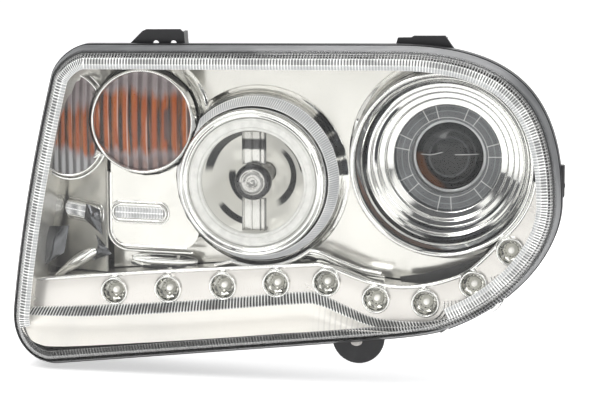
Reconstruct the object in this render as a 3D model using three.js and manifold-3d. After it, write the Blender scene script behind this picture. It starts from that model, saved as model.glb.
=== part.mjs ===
// Car headlight assembly: right-hand lamp with a halogen projector, a high-beam bowl, a turn signal,
// a side marker and a strip of daytime LEDs. Millimetres, +X along the lamp towards the car's middle,
// +Y towards the back of the lamp, +Z up. Every optical axis runs along Y. The lens, the bezel and the
// housing lean back towards the outer end, so they are drawn flat and sheared by SWEEP.
import * as THREE from 'three';
import * as BufferGeometryUtils from 'three/addons/utils/BufferGeometryUtils.js';
import Module from 'manifold-3d';

const wasm = await Module();
wasm.setup();

// ---------------------------------------------------------------- driving dimensions
const LENGTH = 505; // overall length of the lens outline
const HEIGHT = 304; // overall height of the lens outline
const SWEEP = 0.12; // how far the lens plane leans back for each millimetre towards the outer end
const GAP = 0.35; // standing gap between pieces that touch

const LENS_WALL = 2.6;
const LENS_REACH = 21; // how far the lens stands out of its flange
const HOUSING_WALL = 3;
const CHANNEL_DEPTH = 12; // glue channel that holds the lens
const CHANNEL_WIDTH = 7;
const BEZEL_WALL = 2.4;
const BEZEL_DEPTH = 38; // depth of the bezel's back plate behind the flange
const PANEL_DEPTH = 14;
const STRIP_DEPTH = 2;
const BACK_DEPTH = 84; // depth of the housing's back plate

const PROJECTOR = { x: 140, z: 42.5 };
const PROJECTOR_RIM_R = 80;
const PROJECTOR_RIM_Y = -24.5;
const PROJECTOR_LENS_R = 31;
const PROJECTOR_LENS_Y = 25; // the lens's foremost point
const PROJECTOR_BACK_Y = 152;

const HIGH_BEAM = { x: -31, z: 19.5 };
const HIGH_RIM_R = 65.4;
const HIGH_RIM_Y = -6.5;
const HIGH_OPENING_R = 45.8;
const HIGH_BASE_R = 74.5;
const HIGH_BACK_Y = 118;
const SHIELD_R = 16;

const TURN = { x: -135, z: 69 };
const TURN_R = 44;

const MARKER = { x: -204, y: 44, z: 63 };
const MARKER_R = 40;
const CORNER_TURN = THREE.MathUtils.degToRad(40); // how far the outer corner faces away

const LED_CUP_R = 12.6;
const LED_R = 2.5;
const LED_PLACES = [
  [-162, -86], [-111, -81.5], [-59.5, -76], [-10, -71], [36, -67.5],
  [81, -80], [125.5, -81], [168, -62.5], [200.3, -31.5],
];

const CAP_R = 50;
const CAP_BORE_R = 43;
const AIM_ARM = 62; // from an aiming axis down to its screw
const AIM_SCREW_R = 3;
const PIVOT_R = 4;
const AIM_CLEARANCE = 0.5;

const OUTLINE_STEPS = 5;
const STRIP_STEPS = 26;
const ROUND = 24; // segments round a large circle
const ROUND_SMALL = 12;

// ---------------------------------------------------------------- materials
const finish = (color, metalness, roughness, extra = {}) =>
  new THREE.MeshStandardMaterial({ color, metalness, roughness, ...extra });
const CHROME = finish(0xe6e4df, 1, 0.12);
const CLEAR = finish(0xf2f5f5, 0, 0.06, { transparent: true, opacity: 0.3 });
const SMOKED = finish(0x55585c, 0, 0.15, { transparent: true, opacity: 0.7 });
const AMBER = finish(0xb8561a, 0, 0.25, { transparent: true, opacity: 0.85 });
const BLACK_PLASTIC = finish(0x17181a, 0, 0.55);
const BLACK_STEEL = finish(0x101114, 0.4, 0.45);
const SATIN_METAL = finish(0xa9abad, 1, 0.4);
const RUBBER = finish(0x1c1c1c, 0, 0.85);
const BOARD = finish(0x2c5b3a, 0, 0.5);
const GREY_PLASTIC = finish(0x8a8c8e, 0, 0.5);

// ---------------------------------------------------------------- solids and booleans
function toSolid(geometry) {
  const bare = geometry.clone();
  bare.deleteAttribute('normal');
  bare.deleteAttribute('uv');
  const merged = BufferGeometryUtils.mergeVertices(bare, 1e-4);
  const vertProperties = new Float32Array(merged.attributes.position.array);
  const triVerts = new Uint32Array(merged.index.array);
  return new wasm.Manifold(new wasm.Mesh({ numProp: 3, vertProperties, triVerts }));
}

function toGeometry(solid) {
  const mesh = solid.getMesh();
  const geometry = new THREE.BufferGeometry();
  geometry.setAttribute('position', new THREE.BufferAttribute(mesh.vertProperties, 3));
  geometry.setIndex(new THREE.BufferAttribute(mesh.triVerts, 1));
  return geometry;
}

const join = (first, ...rest) => rest.reduce((sum, each) => sum.add(each), first);
const cut = (first, ...rest) => rest.reduce((left, each) => left.subtract(each), first);

// The largest of a solid's separate bodies, for a shell that a cut leaves with loose slivers.
function largest(solid) {
  return solid.decompose().reduce((best, each) => (each.volume() > best.volume() ? each : best));
}

// Leans a solid that was drawn flat back towards the outer end.
function sweep(geometry) {
  const shear = new THREE.Matrix4().set(1, 0, 0, 0, -SWEEP, 1, 0, 0, 0, 0, 1, 0, 0, 0, 0, 1);
  return geometry.clone().applyMatrix4(shear);
}

// How deep a point at x lies when it is `depth` behind the flange.
const depthAt = (x, depth) => depth - SWEEP * x;

// A solid of revolution about an axis along Y through (x, z). The profile is a list of [radius, y]
// that closes on itself, or that starts and ends on the axis.
function turned(profile, axis, segments = ROUND) {
  const onAxis = profile[0][0] === 0;
  const closed = (onAxis ? profile : [...profile, profile[0]]).map(([r, y]) => new THREE.Vector2(r, y));
  const points = THREE.ShapeUtils.area(closed) < 0 ? closed.reverse() : closed;
  const geometry = new THREE.LatheGeometry(points, segments);
  geometry.translate(axis.x, 0, axis.z);
  return geometry;
}

// A round bar along Y from y0 to y1.
function bar(axis, radius, y0, y1, segments = ROUND) {
  const geometry = new THREE.CylinderGeometry(radius, radius, y1 - y0, segments);
  geometry.translate(axis.x, (y0 + y1) / 2, axis.z);
  return geometry;
}

function block(x0, x1, y0, y1, z0, z1) {
  const geometry = new THREE.BoxGeometry(x1 - x0, y1 - y0, z1 - z0);
  geometry.translate((x0 + x1) / 2, (y0 + y1) / 2, (z0 + z1) / 2);
  return geometry;
}

// A flat plate with the outline of a list of [x, z], from y0 to y1.
function plate(points, y0, y1) {
  const shape = new THREE.Shape(points.map(([x, z]) => new THREE.Vector2(x, z)));
  const geometry = new THREE.ExtrudeGeometry(shape, { depth: y1 - y0, bevelEnabled: false });
  geometry.rotateX(Math.PI / 2);
  geometry.translate(0, y1, 0);
  return geometry;
}

// A closed skin through rings of equal point counts, each {points: [[x, z]], y}, capped at both ends.
function loft(rings) {
  const count = rings[0].points.length;
  const positions = rings.flatMap(({ points, y }) => points.flatMap(([x, z]) => [x, y, z]));
  const faces = [];
  for (let ring = 0; ring + 1 < rings.length; ring += 1) {
    for (let i = 0; i < count; i += 1) {
      const a = ring * count + i;
      const b = ring * count + ((i + 1) % count);
      faces.push(b, a, a + count, b, a + count, b + count);
    }
  }
  const cap = (ring) => THREE.ShapeUtils.triangulateShape(
    rings[ring].points.map(([x, z]) => new THREE.Vector2(x, z)), []);
  const last = (rings.length - 1) * count;
  cap(0).forEach(([a, b, c]) => faces.push(a, b, c));
  cap(rings.length - 1).forEach(([a, b, c]) => faces.push(last + c, last + b, last + a));
  const geometry = new THREE.BufferGeometry();
  geometry.setAttribute('position', new THREE.Float32BufferAttribute(positions, 3));
  geometry.setIndex(faces);
  const solid = new wasm.Manifold(new wasm.Mesh({
    numProp: 3,
    vertProperties: new Float32Array(positions),
    triVerts: new Uint32Array(faces),
  }));
  if (solid.volume() < 0) {
    throw new Error('a lofted skin is inside out');
  }
  return geometry;
}

// ---------------------------------------------------------------- outlines, drawn flat
// The lens outline: straight top, large round inner end, level bottom and a slanted outer end.
// Its points are shares of half the length and half the height.
function lampShape() {
  const w = LENGTH / 2;
  const h = HEIGHT / 2;
  const at = (u, v) => [u * w, v * h];
  const shape = new THREE.Shape();
  shape.moveTo(...at(-0.74, 0.9));
  shape.lineTo(...at(0.38, 0.95));
  shape.bezierCurveTo(...at(0.79, 0.97), ...at(0.965, 0.71), ...at(0.967, 0.08));
  shape.bezierCurveTo(...at(0.968, -0.19), ...at(0.82, -0.53), ...at(0.55, -0.7));
  shape.bezierCurveTo(...at(0.46, -0.745), ...at(0.33, -0.77), ...at(0.04, -0.835));
  shape.lineTo(...at(-0.87, -1.035));
  shape.bezierCurveTo(...at(-0.94, -1.045), ...at(-1.035, -0.94), ...at(-1.033, -0.725));
  shape.quadraticCurveTo(...at(-0.992, -0.05), ...at(-0.873, 0.72));
  shape.bezierCurveTo(...at(-0.855, 0.8), ...at(-0.8, 0.885), ...at(-0.74, 0.9));
  return shape;
}

function lampOutline() {
  const points = lampShape().getPoints(OUTLINE_STEPS).map(({ x, y }) => [x, y]);
  const distinct = points.filter(([x, z], i) => {
    const [px, pz] = points[(i + points.length - 1) % points.length];
    return Math.hypot(x - px, z - pz) > 0.01;
  });
  const ccw = THREE.ShapeUtils.area(distinct.map(([x, z]) => new THREE.Vector2(x, z))) > 0;
  return ccw ? distinct : distinct.reverse();
}

// The outline moved inwards by `inset`, each corner along its mitre.
function inset(points, distance) {
  const count = points.length;
  const normal = ([ax, az], [bx, bz]) => {
    const length = Math.hypot(bx - ax, bz - az);
    return [-(bz - az) / length, (bx - ax) / length];
  };
  return points.map((point, i) => {
    const before = normal(points[(i + count - 1) % count], point);
    const after = normal(point, points[(i + 1) % count]);
    const share = 1 + before[0] * after[0] + before[1] * after[1];
    const [nx, nz] = [(before[0] + after[0]) / share, (before[1] + after[1]) / share];
    return [point[0] + nx * distance, point[1] + nz * distance];
  });
}

const OUTLINE = lampOutline();
const ring = (distance, y) => ({ points: inset(OUTLINE, distance), y });
const shrunk = (distance, scaleX, scaleZ, y) => ({
  points: inset(OUTLINE, distance).map(([x, z]) => [x * scaleX, z * scaleZ]),
  y,
});

const INNER_X = Math.max(...OUTLINE.map(([x]) => x)); // the lens's inner end

// The height of the outline's straight top edge, and of its straight bottom edge, at x.
const topEdge = (x) => (HEIGHT / 2) * (0.9 + ((x / (LENGTH / 2) + 0.74) * 0.05) / 1.12);
const bottomEdge = (x) => (HEIGHT / 2) * (-1.035 + ((x / (LENGTH / 2) + 0.87) * 0.2) / 0.91);
const above = (edge, points) => points.map(([x, rise]) => [x, edge(x) + rise]);

// The top edge of the LED strip, from the outer end to the inner end, with the region below it.
function stripRegion(lift) {
  const edge = new THREE.SplineCurve([
    [-262, -82], [-150, -70], [8, -54.5], [35, -54], [78, -66.5],
    [116, -67.5], [156, -55.5], [180, -36], [196, -12], [216, 30], [225, 96],
  ].map(([x, z]) => new THREE.Vector2(x, z)));
  const top = edge.getPoints(STRIP_STEPS).map(({ x, y }) => [x, y + lift]);
  return [...top, [300, 96 + lift], [300, -220], [-300, -220], [-300, -82 + lift]].reverse();
}

function roundedBox(x0, x1, z0, z1, radius) {
  const shape = new THREE.Shape();
  shape.moveTo(x0 + radius, z0);
  shape.lineTo(x1 - radius, z0);
  shape.absarc(x1 - radius, z0 + radius, radius, -Math.PI / 2, 0);
  shape.lineTo(x1, z1 - radius);
  shape.absarc(x1 - radius, z1 - radius, radius, 0, Math.PI / 2);
  shape.lineTo(x0 + radius, z1);
  shape.absarc(x0 + radius, z1 - radius, radius, Math.PI / 2, Math.PI);
  shape.lineTo(x0, z0 + radius);
  shape.absarc(x0 + radius, z0 + radius, radius, Math.PI, Math.PI * 1.5);
  return shape.getPoints(6).map(({ x, y }) => [x, y]);
}

// ---------------------------------------------------------------- the model
const lamp = new THREE.Group();

function add(name, geometry, material) {
  const mesh = new THREE.Mesh(geometry, material);
  mesh.name = name;
  lamp.add(mesh);
  return mesh;
}

const HIGH_PIVOT_Y = 44;
const PROJECTOR_PIVOT_Y = 50;
const HIGH_HUB_Y = 76; // back face of the high-beam bowl's bulb seat
const PROJECTOR_HUB_Y = 118;
const PIVOT_REACH = 56; // how far a pivot pin reaches from its axis
const POST = { near: 46, far: 54, height: 7 };
const TURRET = { projector: AIM_ARM + 4, highBeam: AIM_ARM + 2 };
const BACK_SCALE_X = 0.93;
const BACK_SCALE_Z = 0.9;
const TURN_BOSS_Y = 105;
const MARKER_SOCKET = { x: -184, z: 60 };
const MARKER_BOSS_Y = 113;
const SOCKET_BORE_R = 12.6;
const VENT = { x: 54, z: -34 };
const VENT_BOSS_Y = 86;
const CONNECTOR = { x: -88, z: -58 };
const CONNECTOR_BOSS_Y = 101;
const TURN_TUBE_R = TURN_R + 6;
const FUNNEL_R = PROJECTOR_RIM_R + 1.2;

const xBar = (axis, y, radius, x0, x1) => {
  const geometry = new THREE.CylinderGeometry(radius, radius, x1 - x0, ROUND_SMALL);
  geometry.rotateZ(Math.PI / 2);
  geometry.translate(axis.x + (x0 + x1) / 2, y, axis.z);
  return geometry;
};

const zBar = (x, y, radius, z0, z1) => {
  const geometry = new THREE.CylinderGeometry(radius, radius, z1 - z0, ROUND_SMALL / 2);
  geometry.rotateX(Math.PI / 2);
  geometry.translate(x, y, (z0 + z1) / 2);
  return geometry;
};

const beside = (axis, x0, x1, y0, y1, z0, z1) =>
  block(axis.x + x0, axis.x + x1, y0, y1, axis.z + z0, axis.z + z1);
const below = (axis) => ({ x: axis.x, z: axis.z - AIM_ARM });
const swept = (rings) => toSolid(sweep(loft(rings)));
const sweptPlate = (points, d0, d1) => toSolid(sweep(plate(points, d0, d1)));

// ---------------------------------------------------------------- housing
function turret(axis, radius, from, back) {
  return toSolid(bar(axis, radius, from, back));
}

// Two posts that carry a unit's pivot pins, standing forward from the turret's back wall.
function pivotPosts(axis, pivotY, back) {
  const posts = [-1, 1].map((side) => {
    const [near, far] = [side * POST.near, side * POST.far];
    const [x0, x1] = [Math.min(near, far), Math.max(near, far)];
    return toSolid(beside(axis, x0, x1, pivotY - 7, back - 1, -POST.height, POST.height));
  });
  const hole = toSolid(xBar(axis, pivotY, PIVOT_R + AIM_CLEARANCE, -PIVOT_REACH - 2, PIVOT_REACH + 2));
  return posts.map((post) => cut(post, hole));
}

function housing() {
  const wall = HOUSING_WALL;
  const channelEdge = 2 + CHANNEL_WIDTH;
  const can = swept([
    ring(0, 2), ring(0, 14), ring(channelEdge, 16), ring(12, 50),
    shrunk(12, BACK_SCALE_X, BACK_SCALE_Z, BACK_DEPTH),
  ]);
  const channel = swept([ring(2, 1), ring(2, CHANNEL_DEPTH)]);
  const cavity = swept([
    ring(channelEdge + 2, CHANNEL_DEPTH - 1), ring(channelEdge + 2, 14), ring(channelEdge + wall, 17),
    ring(12 + wall, 50), shrunk(12 + wall, BACK_SCALE_X, BACK_SCALE_Z, BACK_DEPTH - wall),
  ]);
  const innerWall = cut(
    swept([ring(channelEdge, 3), ring(channelEdge, CHANNEL_DEPTH + 1)]),
    swept([ring(channelEdge + 2, 2), ring(channelEdge + 2, CHANNEL_DEPTH + 2)]),
  );
  const shell = join(
    can,
    turret(PROJECTOR, TURRET.projector, 50, PROJECTOR_BACK_Y),
    turret(HIGH_BEAM, TURRET.highBeam, 66, HIGH_BACK_Y),
    turret(TURN, 19, 90, TURN_BOSS_Y),
    turret(MARKER_SOCKET, 17, 95, MARKER_BOSS_Y),
    turret(VENT, 9, 72, VENT_BOSS_Y),
    turret(CONNECTOR, 18, 88, CONNECTOR_BOSS_Y),
  );
  const hollow = cut(
    shell,
    channel,
    cavity,
    turret(PROJECTOR, TURRET.projector - wall, 40, PROJECTOR_BACK_Y - wall),
    turret(HIGH_BEAM, TURRET.highBeam - wall, 50, HIGH_BACK_Y - wall),
    turret(PROJECTOR, CAP_BORE_R, 40, PROJECTOR_BACK_Y + 1),
    turret(HIGH_BEAM, CAP_BORE_R, 50, HIGH_BACK_Y + 1),
    turret(below(PROJECTOR), AIM_SCREW_R + AIM_CLEARANCE, 40, PROJECTOR_BACK_Y + 1),
    turret(below(HIGH_BEAM), AIM_SCREW_R + AIM_CLEARANCE, 40, HIGH_BACK_Y + 1),
    turret(TURN, SOCKET_BORE_R, 60, TURN_BOSS_Y + 1),
    turret(MARKER_SOCKET, SOCKET_BORE_R - 3, 60, MARKER_BOSS_Y + 1),
    turret(VENT, 4.4, 60, VENT_BOSS_Y + 1),
    turret(CONNECTOR, 12, 60, CONNECTOR_BOSS_Y + 1),
  );
  return join(
    cut(hollow, ...cupRooms()),
    cut(innerWall, ...cupRooms()),
    ...pivotPosts(PROJECTOR, PROJECTOR_PIVOT_Y, PROJECTOR_BACK_Y),
    ...pivotPosts(HIGH_BEAM, HIGH_PIVOT_Y, HIGH_BACK_Y),
    toSolid(block(INNER_X - 2.2, INNER_X + 3.3, -22, -12, 16, 44)),
  );
}

// ---------------------------------------------------------------- lens, seal, bezels
function lens() {
  const outside = swept([
    ring(15, -LENS_REACH), ring(11, -LENS_REACH + 5), ring(5, -2), ring(2.4, 0), ring(2.4, 9),
  ]);
  const wall = LENS_WALL;
  const inside = swept([
    ring(15 + wall, -LENS_REACH + wall), ring(11 + wall, -LENS_REACH + 5 + wall / 2), ring(5 + wall, 0),
    ring(2.4 + wall, wall), ring(2.4 + wall, 10),
  ]);
  return cut(outside, inside);
}

function seal() {
  const outside = swept([ring(2 + GAP, 9 + GAP), ring(2 + GAP, CHANNEL_DEPTH - GAP)]);
  const inside = swept([
    ring(2 + CHANNEL_WIDTH - GAP, 8), ring(2 + CHANNEL_WIDTH - GAP, CHANNEL_DEPTH + 1),
  ]);
  return cut(outside, inside);
}

const CORNER_X = -171.5; // the fold between the bezel and the corner that faces outwards
const LEAF_Y = BEZEL_DEPTH - 2; // where the corner's sloping leaf starts
const LEAF_REACH = 80;
const PANEL = { x0: -168, x1: -85, z0: -46.5, z1: 60, radius: 16 };

function markerBar(radius, reach) {
  const geometry = new THREE.CylinderGeometry(radius, radius, reach, ROUND);
  geometry.rotateZ(-CORNER_TURN);
  geometry.translate(MARKER.x, MARKER.y, MARKER.z);
  return toSolid(geometry);
}

function bezel() {
  const tray = cut(
    swept([ring(14, -8), ring(22, BEZEL_DEPTH + BEZEL_WALL)]),
    swept([ring(14 + BEZEL_WALL, -9), ring(22 + BEZEL_WALL, BEZEL_DEPTH)]),
  );
  const { x0, x1, z0, z1, radius } = PANEL;
  const wall = BEZEL_WALL;
  const panel = cut(
    sweptPlate(roundedBox(x0, x1, z0, z1, radius), PANEL_DEPTH, BEZEL_DEPTH + 1),
    sweptPlate(
      roundedBox(x0 + wall, x1 - wall, z0 + wall, z1 - wall, radius - wall),
      PANEL_DEPTH + wall, BEZEL_DEPTH + 5),
  );
  return largest(cut(
    join(tray, panel),
    sweptPlate(stripRegion(0.8), -60, 90),
    toSolid(block(-300, CORNER_X, -100, 200, -200, 200)),
    toSolid(bar(HIGH_BEAM, HIGH_BASE_R + 0.6, -50, 100)),
    toSolid(bar(TURN, TURN_TUBE_R + 0.6, -50, 100)),
    toSolid(bar(PROJECTOR, FUNNEL_R + 0.6, -100, 100)),
  ));
}

function cornerBezel() {
  const wall = BEZEL_WALL;
  const side = cut(
    swept([ring(14, -8), ring(17, LEAF_Y + 11)]),
    swept([ring(14 + wall, -9), ring(17 + wall, LEAF_Y + 12)]),
  );
  const slope = new THREE.BoxGeometry(LEAF_REACH, wall, HEIGHT);
  slope.translate(-LEAF_REACH / 2, 0, 0);
  slope.rotateZ(-CORNER_TURN);
  slope.translate(CORNER_X - 1, LEAF_Y, 0);
  const leaf = toSolid(slope).intersect(swept([
    ring(14.5, -8), ring(17.5, 50), shrunk(17.5, BACK_SCALE_X, BACK_SCALE_Z, BACK_DEPTH - 6),
  ]));
  return largest(cut(
    join(side, leaf),
    sweptPlate(stripRegion(0.8), -60, 120),
    toSolid(block(CORNER_X - 0.4, 300, -100, 200, -200, 200)),
    toSolid(bar(TURN, TURN_TUBE_R + 0.6, -50, 100)),
    markerBar(MARKER_R + 1.6, 130),
  ));
}

function ledStrip() {
  const wall = BEZEL_WALL;
  const face = cut(
    swept([ring(14, -6), ring(15, STRIP_DEPTH + wall)]),
    swept([ring(14 + wall, -7), ring(15 + wall, STRIP_DEPTH)]),
  ).intersect(sweptPlate(stripRegion(0), -40, 60));
  const upright = cut(
    sweptPlate(stripRegion(0), STRIP_DEPTH, BEZEL_DEPTH - 4),
    sweptPlate(stripRegion(-wall), 0, BEZEL_DEPTH),
  ).intersect(swept([ring(15, 0), ring(17, BEZEL_DEPTH)]));
  const cups = LED_PLACES.map(([x, z]) => toSolid(bar({ x, z }, LED_CUP_R + GAP, -60, 60)));
  return largest(cut(
    join(face, upright),
    ...cups,
    toSolid(bar(PROJECTOR, FUNNEL_R + 0.6, -100, 100)),
  ));
}

// ---------------------------------------------------------------- daytime LEDs
// The room round each cup, cut from the housing so that a wider cup still clears its walls.
function cupRooms() {
  return LED_PLACES.map(([x, z]) => toSolid(bar({ x, z }, LED_CUP_R + GAP, depthAt(x, -4), depthAt(x, 8))));
}

function ledCup([x, z]) {
  const y = depthAt(x, 0);
  const r = LED_CUP_R;
  const profile = [
    [r - 2, -3.2], [r, -2.4], [r, 3], [8.8, 10.6], [LED_R + 0.8, 10.6], [LED_R + 0.8, 9.4],
    [7.2, 7], [r - 2.8, 2],
  ];
  return turned(profile.map(([radius, depth]) => [radius, y + depth]), { x, z }, ROUND_SMALL);
}

function led([x, z]) {
  const y = depthAt(x, 0);
  const r = LED_R;
  const profile = [[0, 2.2], [1.7, 2.9], [r, 4.6], [r, 11.4], [r + 0.4, 11.4], [r + 0.4, 12.6], [0, 12.6]];
  return turned(profile.map(([radius, depth]) => [radius, y + depth]), { x, z }, 8);
}

function ledBoard() {
  const path = new THREE.SplineCurve(LED_PLACES.map(([x, z]) => new THREE.Vector2(x, z)));
  const steps = 16;
  const side = (reach) => Array.from({ length: steps + 1 }, (_, i) => {
    const point = path.getPoint(i / steps);
    const along = path.getTangent(i / steps);
    return [point.x - along.y * reach, point.y + along.x * reach];
  });
  const half = 6.5;
  return sweep(plate([...side(-half), ...side(half).reverse()], 13.6, 15.2));
}

// ---------------------------------------------------------------- turn signal and side marker
function turnReflector() {
  const r = TURN_R;
  return turned([
    [r + GAP, 19], [r + 3, 19], [r + 4, 24], [TURN_TUBE_R, 60], [45, 68], [31, 80.5], [16, 89],
    [13.4, 89], [13.4, 86.4], [28, 78], [41.5, 62], [r + GAP, 46],
  ], TURN);
}

function turnLens() {
  const r = TURN_R;
  return turned([[0, 17.6], [r * 0.5, 18.2], [r * 0.88, 20], [r, 22], [r, 25.2], [0, 22.4]], TURN);
}

function turnFilter() {
  return turned([
    [0, 40], [15, 42], [23, 51], [26, 70], [26, 78.4], [24.2, 79], [24.2, 70], [21.4, 52.4], [14, 44.2],
    [0, 42.2],
  ], TURN, ROUND_SMALL);
}

function bulb(axis, tip, seat, glassR) {
  return turned([
    [0, tip], [glassR * 0.75, tip + 1.6], [glassR, tip + 6], [glassR, seat - 8], [glassR * 0.7, seat - 4],
    [glassR * 0.7, seat], [0, seat],
  ], axis, ROUND_SMALL);
}

// A quarter-turn bulb holder: nose in the housing's bore, flange behind it and a grip across the back.
function bulbSocket(axis, boss, bore, depth) {
  const body = turned([
    [0, boss - depth], [bore - 0.6, boss - depth], [bore - 0.6, boss + GAP], [bore + 4.5, boss + GAP],
    [bore + 4.5, boss + 4], [bore - 1, boss + 4.5], [bore - 1, boss + 12], [0, boss + 12],
  ], axis, ROUND_SMALL);
  const grip = beside(axis, -bore - 2, bore + 2, boss + 3.5, boss + 16, -2.2, 2.2);
  return join(toSolid(body), toSolid(grip));
}

const insideLamp = () => swept([
  ring(14.5 + BEZEL_WALL, -17), ring(17.5 + BEZEL_WALL, 50),
  shrunk(17.5 + BEZEL_WALL, BACK_SCALE_X, BACK_SCALE_Z, BACK_DEPTH - 6),
]);

// A turned piece on the marker's own axis, which faces the outer corner, cut where it meets its neighbours.
function markerPiece(profile) {
  const onAxis = turned(profile, { x: 0, z: 0 });
  onAxis.rotateZ(-CORNER_TURN);
  onAxis.translate(MARKER.x, MARKER.y, MARKER.z);
  return largest(toSolid(onAxis)
    .subtract(toSolid(bar(TURN, TURN_TUBE_R + 0.6, -50, 150)))
    .intersect(insideLamp()));
}

const markerLens = () => markerPiece([
  [0, -1.5], [MARKER_R * 0.6, -0.8], [MARKER_R - GAP, 2], [MARKER_R - GAP, 4.6], [0, 1.5],
]);

const markerReflector = () => markerPiece([
  [MARKER_R, 0], [MARKER_R + 1.4, 0], [MARKER_R + 1.4, 20], [34, 27], [16, 31], [16, 29], [32.5, 25],
  [MARKER_R, 18],
]);

// ---------------------------------------------------------------- oblong reflex reflectors
function stadium(length, height) {
  const r = height / 2;
  const shape = new THREE.Shape();
  shape.moveTo(-length / 2 + r, -r);
  shape.lineTo(length / 2 - r, -r);
  shape.absarc(length / 2 - r, 0, r, -Math.PI / 2, Math.PI / 2);
  shape.lineTo(-length / 2 + r, r);
  shape.absarc(-length / 2 + r, 0, r, Math.PI / 2, Math.PI * 1.5);
  return shape.getPoints(8).map(({ x, y }) => [x, y]);
}

const REFLEX = { length: 50, height: 14, thickness: 3.4, z: -15.5 };

function frontReflex() {
  const centre = (PANEL.x0 + PANEL.x1) / 2 - 14;
  const outline = stadium(REFLEX.length, REFLEX.height).map(([x, z]) => [x + centre, z + REFLEX.z]);
  return sweep(plate(outline, PANEL_DEPTH - GAP - REFLEX.thickness, PANEL_DEPTH - GAP));
}

function sideReflex() {
  const geometry = plate(stadium(34, REFLEX.height), -REFLEX.thickness, 0);
  geometry.translate(-23, -BEZEL_WALL / 2 - GAP, REFLEX.z - 4);
  geometry.rotateZ(-CORNER_TURN);
  geometry.translate(CORNER_X - 1, LEAF_Y, 0);
  return geometry;
}

// ---------------------------------------------------------------- shared by both beam units
// A bayonet bulb: glass, seat flange and the connector behind it.
function beamBulb(axis, hub) {
  return turned([
    [0, hub - 54], [4, hub - 52.4], [5.5, hub - 48], [5.5, hub - 20], [8.8, hub - 16], [8.8, hub + GAP],
    [13, hub + GAP], [13, hub + 3], [6.5, hub + 3], [6.5, hub + 16], [0, hub + 16],
  ], axis, ROUND_SMALL);
}

const CLIP_X = 18; // the clip's hinge stands this far from the bulb's axis

// Ears for the clip's hinge pin, standing behind the bulb seat.
function clipEars(axis, hub) {
  const ears = [-1, 1].map((side) => {
    const [z0, z1] = side > 0 ? [12.6, 15] : [-15, -12.6];
    return toSolid(beside(axis, CLIP_X - 3, CLIP_X + 3, hub - 0.5, hub + 8, z0, z1));
  });
  const hole = toSolid(zBar(axis.x + CLIP_X, hub + 4.4, 1.6, axis.z - 20, axis.z + 20));
  const seat = toSolid(beside(axis, 10, CLIP_X + 4, hub - 6, hub - 0.4, -15, 15));
  return [seat, ...ears.map((ear) => cut(ear, hole))];
}

// A spring-wire fork that presses on the bulb's flange and swings on its pin.
function bulbClip(axis, hub) {
  const arms = [-1, 1].map((side) => {
    const [z0, z1] = side > 0 ? [7.2, 9.2] : [-9.2, -7.2];
    return toSolid(beside(axis, -17, CLIP_X + 1, hub + 3.4, hub + 5.4, z0, z1));
  });
  const bridge = toSolid(beside(axis, CLIP_X - 1, CLIP_X + 1, hub + 3.4, hub + 5.4, -9.2, 9.2));
  const pin = toSolid(zBar(axis.x + CLIP_X, hub + 4.4, 1.1, axis.z - 14.6, axis.z + 14.6));
  return join(bridge, ...arms, pin);
}

// The pivot pins of a beam unit and the lug that its aiming screw passes through.
function aimParts(axis, pivotY, innerR, lugTop) {
  const lug = cut(
    toSolid(beside(axis, -6, 6, pivotY - 3, pivotY + 3, -AIM_ARM - 6, -lugTop)),
    toSolid(bar(below(axis), AIM_SCREW_R + AIM_CLEARANCE, pivotY - 10, pivotY + 10, ROUND_SMALL)),
  );
  return [
    toSolid(xBar(axis, pivotY, PIVOT_R, innerR, PIVOT_REACH)),
    toSolid(xBar(axis, pivotY, PIVOT_R, -PIVOT_REACH, -innerR)),
    lug,
  ];
}

function aimScrew(axis, pivotY, back) {
  return turned([
    [0, pivotY - 9], [AIM_SCREW_R, pivotY - 9], [AIM_SCREW_R, back + GAP], [7.5, back + GAP],
    [7.5, back + 3], [6, back + 4], [6, back + 14], [0, back + 14],
  ], below(axis), 12);
}

// A bayonet service cap: plug in the bore, rim behind the wall and a bar to turn it by.
function serviceCap(axis, back) {
  const plugR = CAP_BORE_R - 0.6;
  const body = turned([
    [0, back + 5.6], [plugR - 3, back + 5.6], [plugR - 3, back - 3], [plugR, back - 3],
    [plugR, back + GAP], [CAP_R, back + GAP], [CAP_R, back + 5], [CAP_R - 3, back + 8], [0, back + 8],
  ], axis);
  return join(toSolid(body), toSolid(beside(axis, -32, 32, back + 7, back + 17, -4, 4)));
}

// ---------------------------------------------------------------- high beam
function highBeamShroud() {
  const r = HIGH_RIM_R;
  const y = HIGH_RIM_Y;
  const base = HIGH_BASE_R;
  const shroud = turned([
    [r - 7.8, y + 2.5], [r - 6.4, y + 0.5], [r - 2, y], [r, y + 2], [r + 0.6, y + 32.5],
    [base, y + 42.5], [base, y + 58], [base - 1.4, y + 58], [base - 1.4, y + 43.3],
    [r - 1.4, y + 34], [r - 2, y + 4.5], [r - 7.8, y + 5],
  ], HIGH_BEAM);
  return largest(cut(toSolid(shroud), toSolid(bar(TURN, TURN_TUBE_R + 0.6, -50, 100))));
}

function highBeamHalo() {
  const y = HIGH_RIM_Y;
  const outer = HIGH_RIM_R - 8.2;
  return turned([
    [HIGH_OPENING_R, y + 3.5], [HIGH_OPENING_R + 2, y + 1.5], [outer - 2, y + 1.5], [outer, y + 3.5],
    [outer, y + 7], [outer - 5, y + 8.6], [HIGH_OPENING_R, y + 8],
  ], HIGH_BEAM);
}

const BOWL_APEX_Y = 68;
const BOWL_FOCUS = 10;
const bowlY = (r) => BOWL_APEX_Y - (r * r) / (4 * BOWL_FOCUS);

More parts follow.
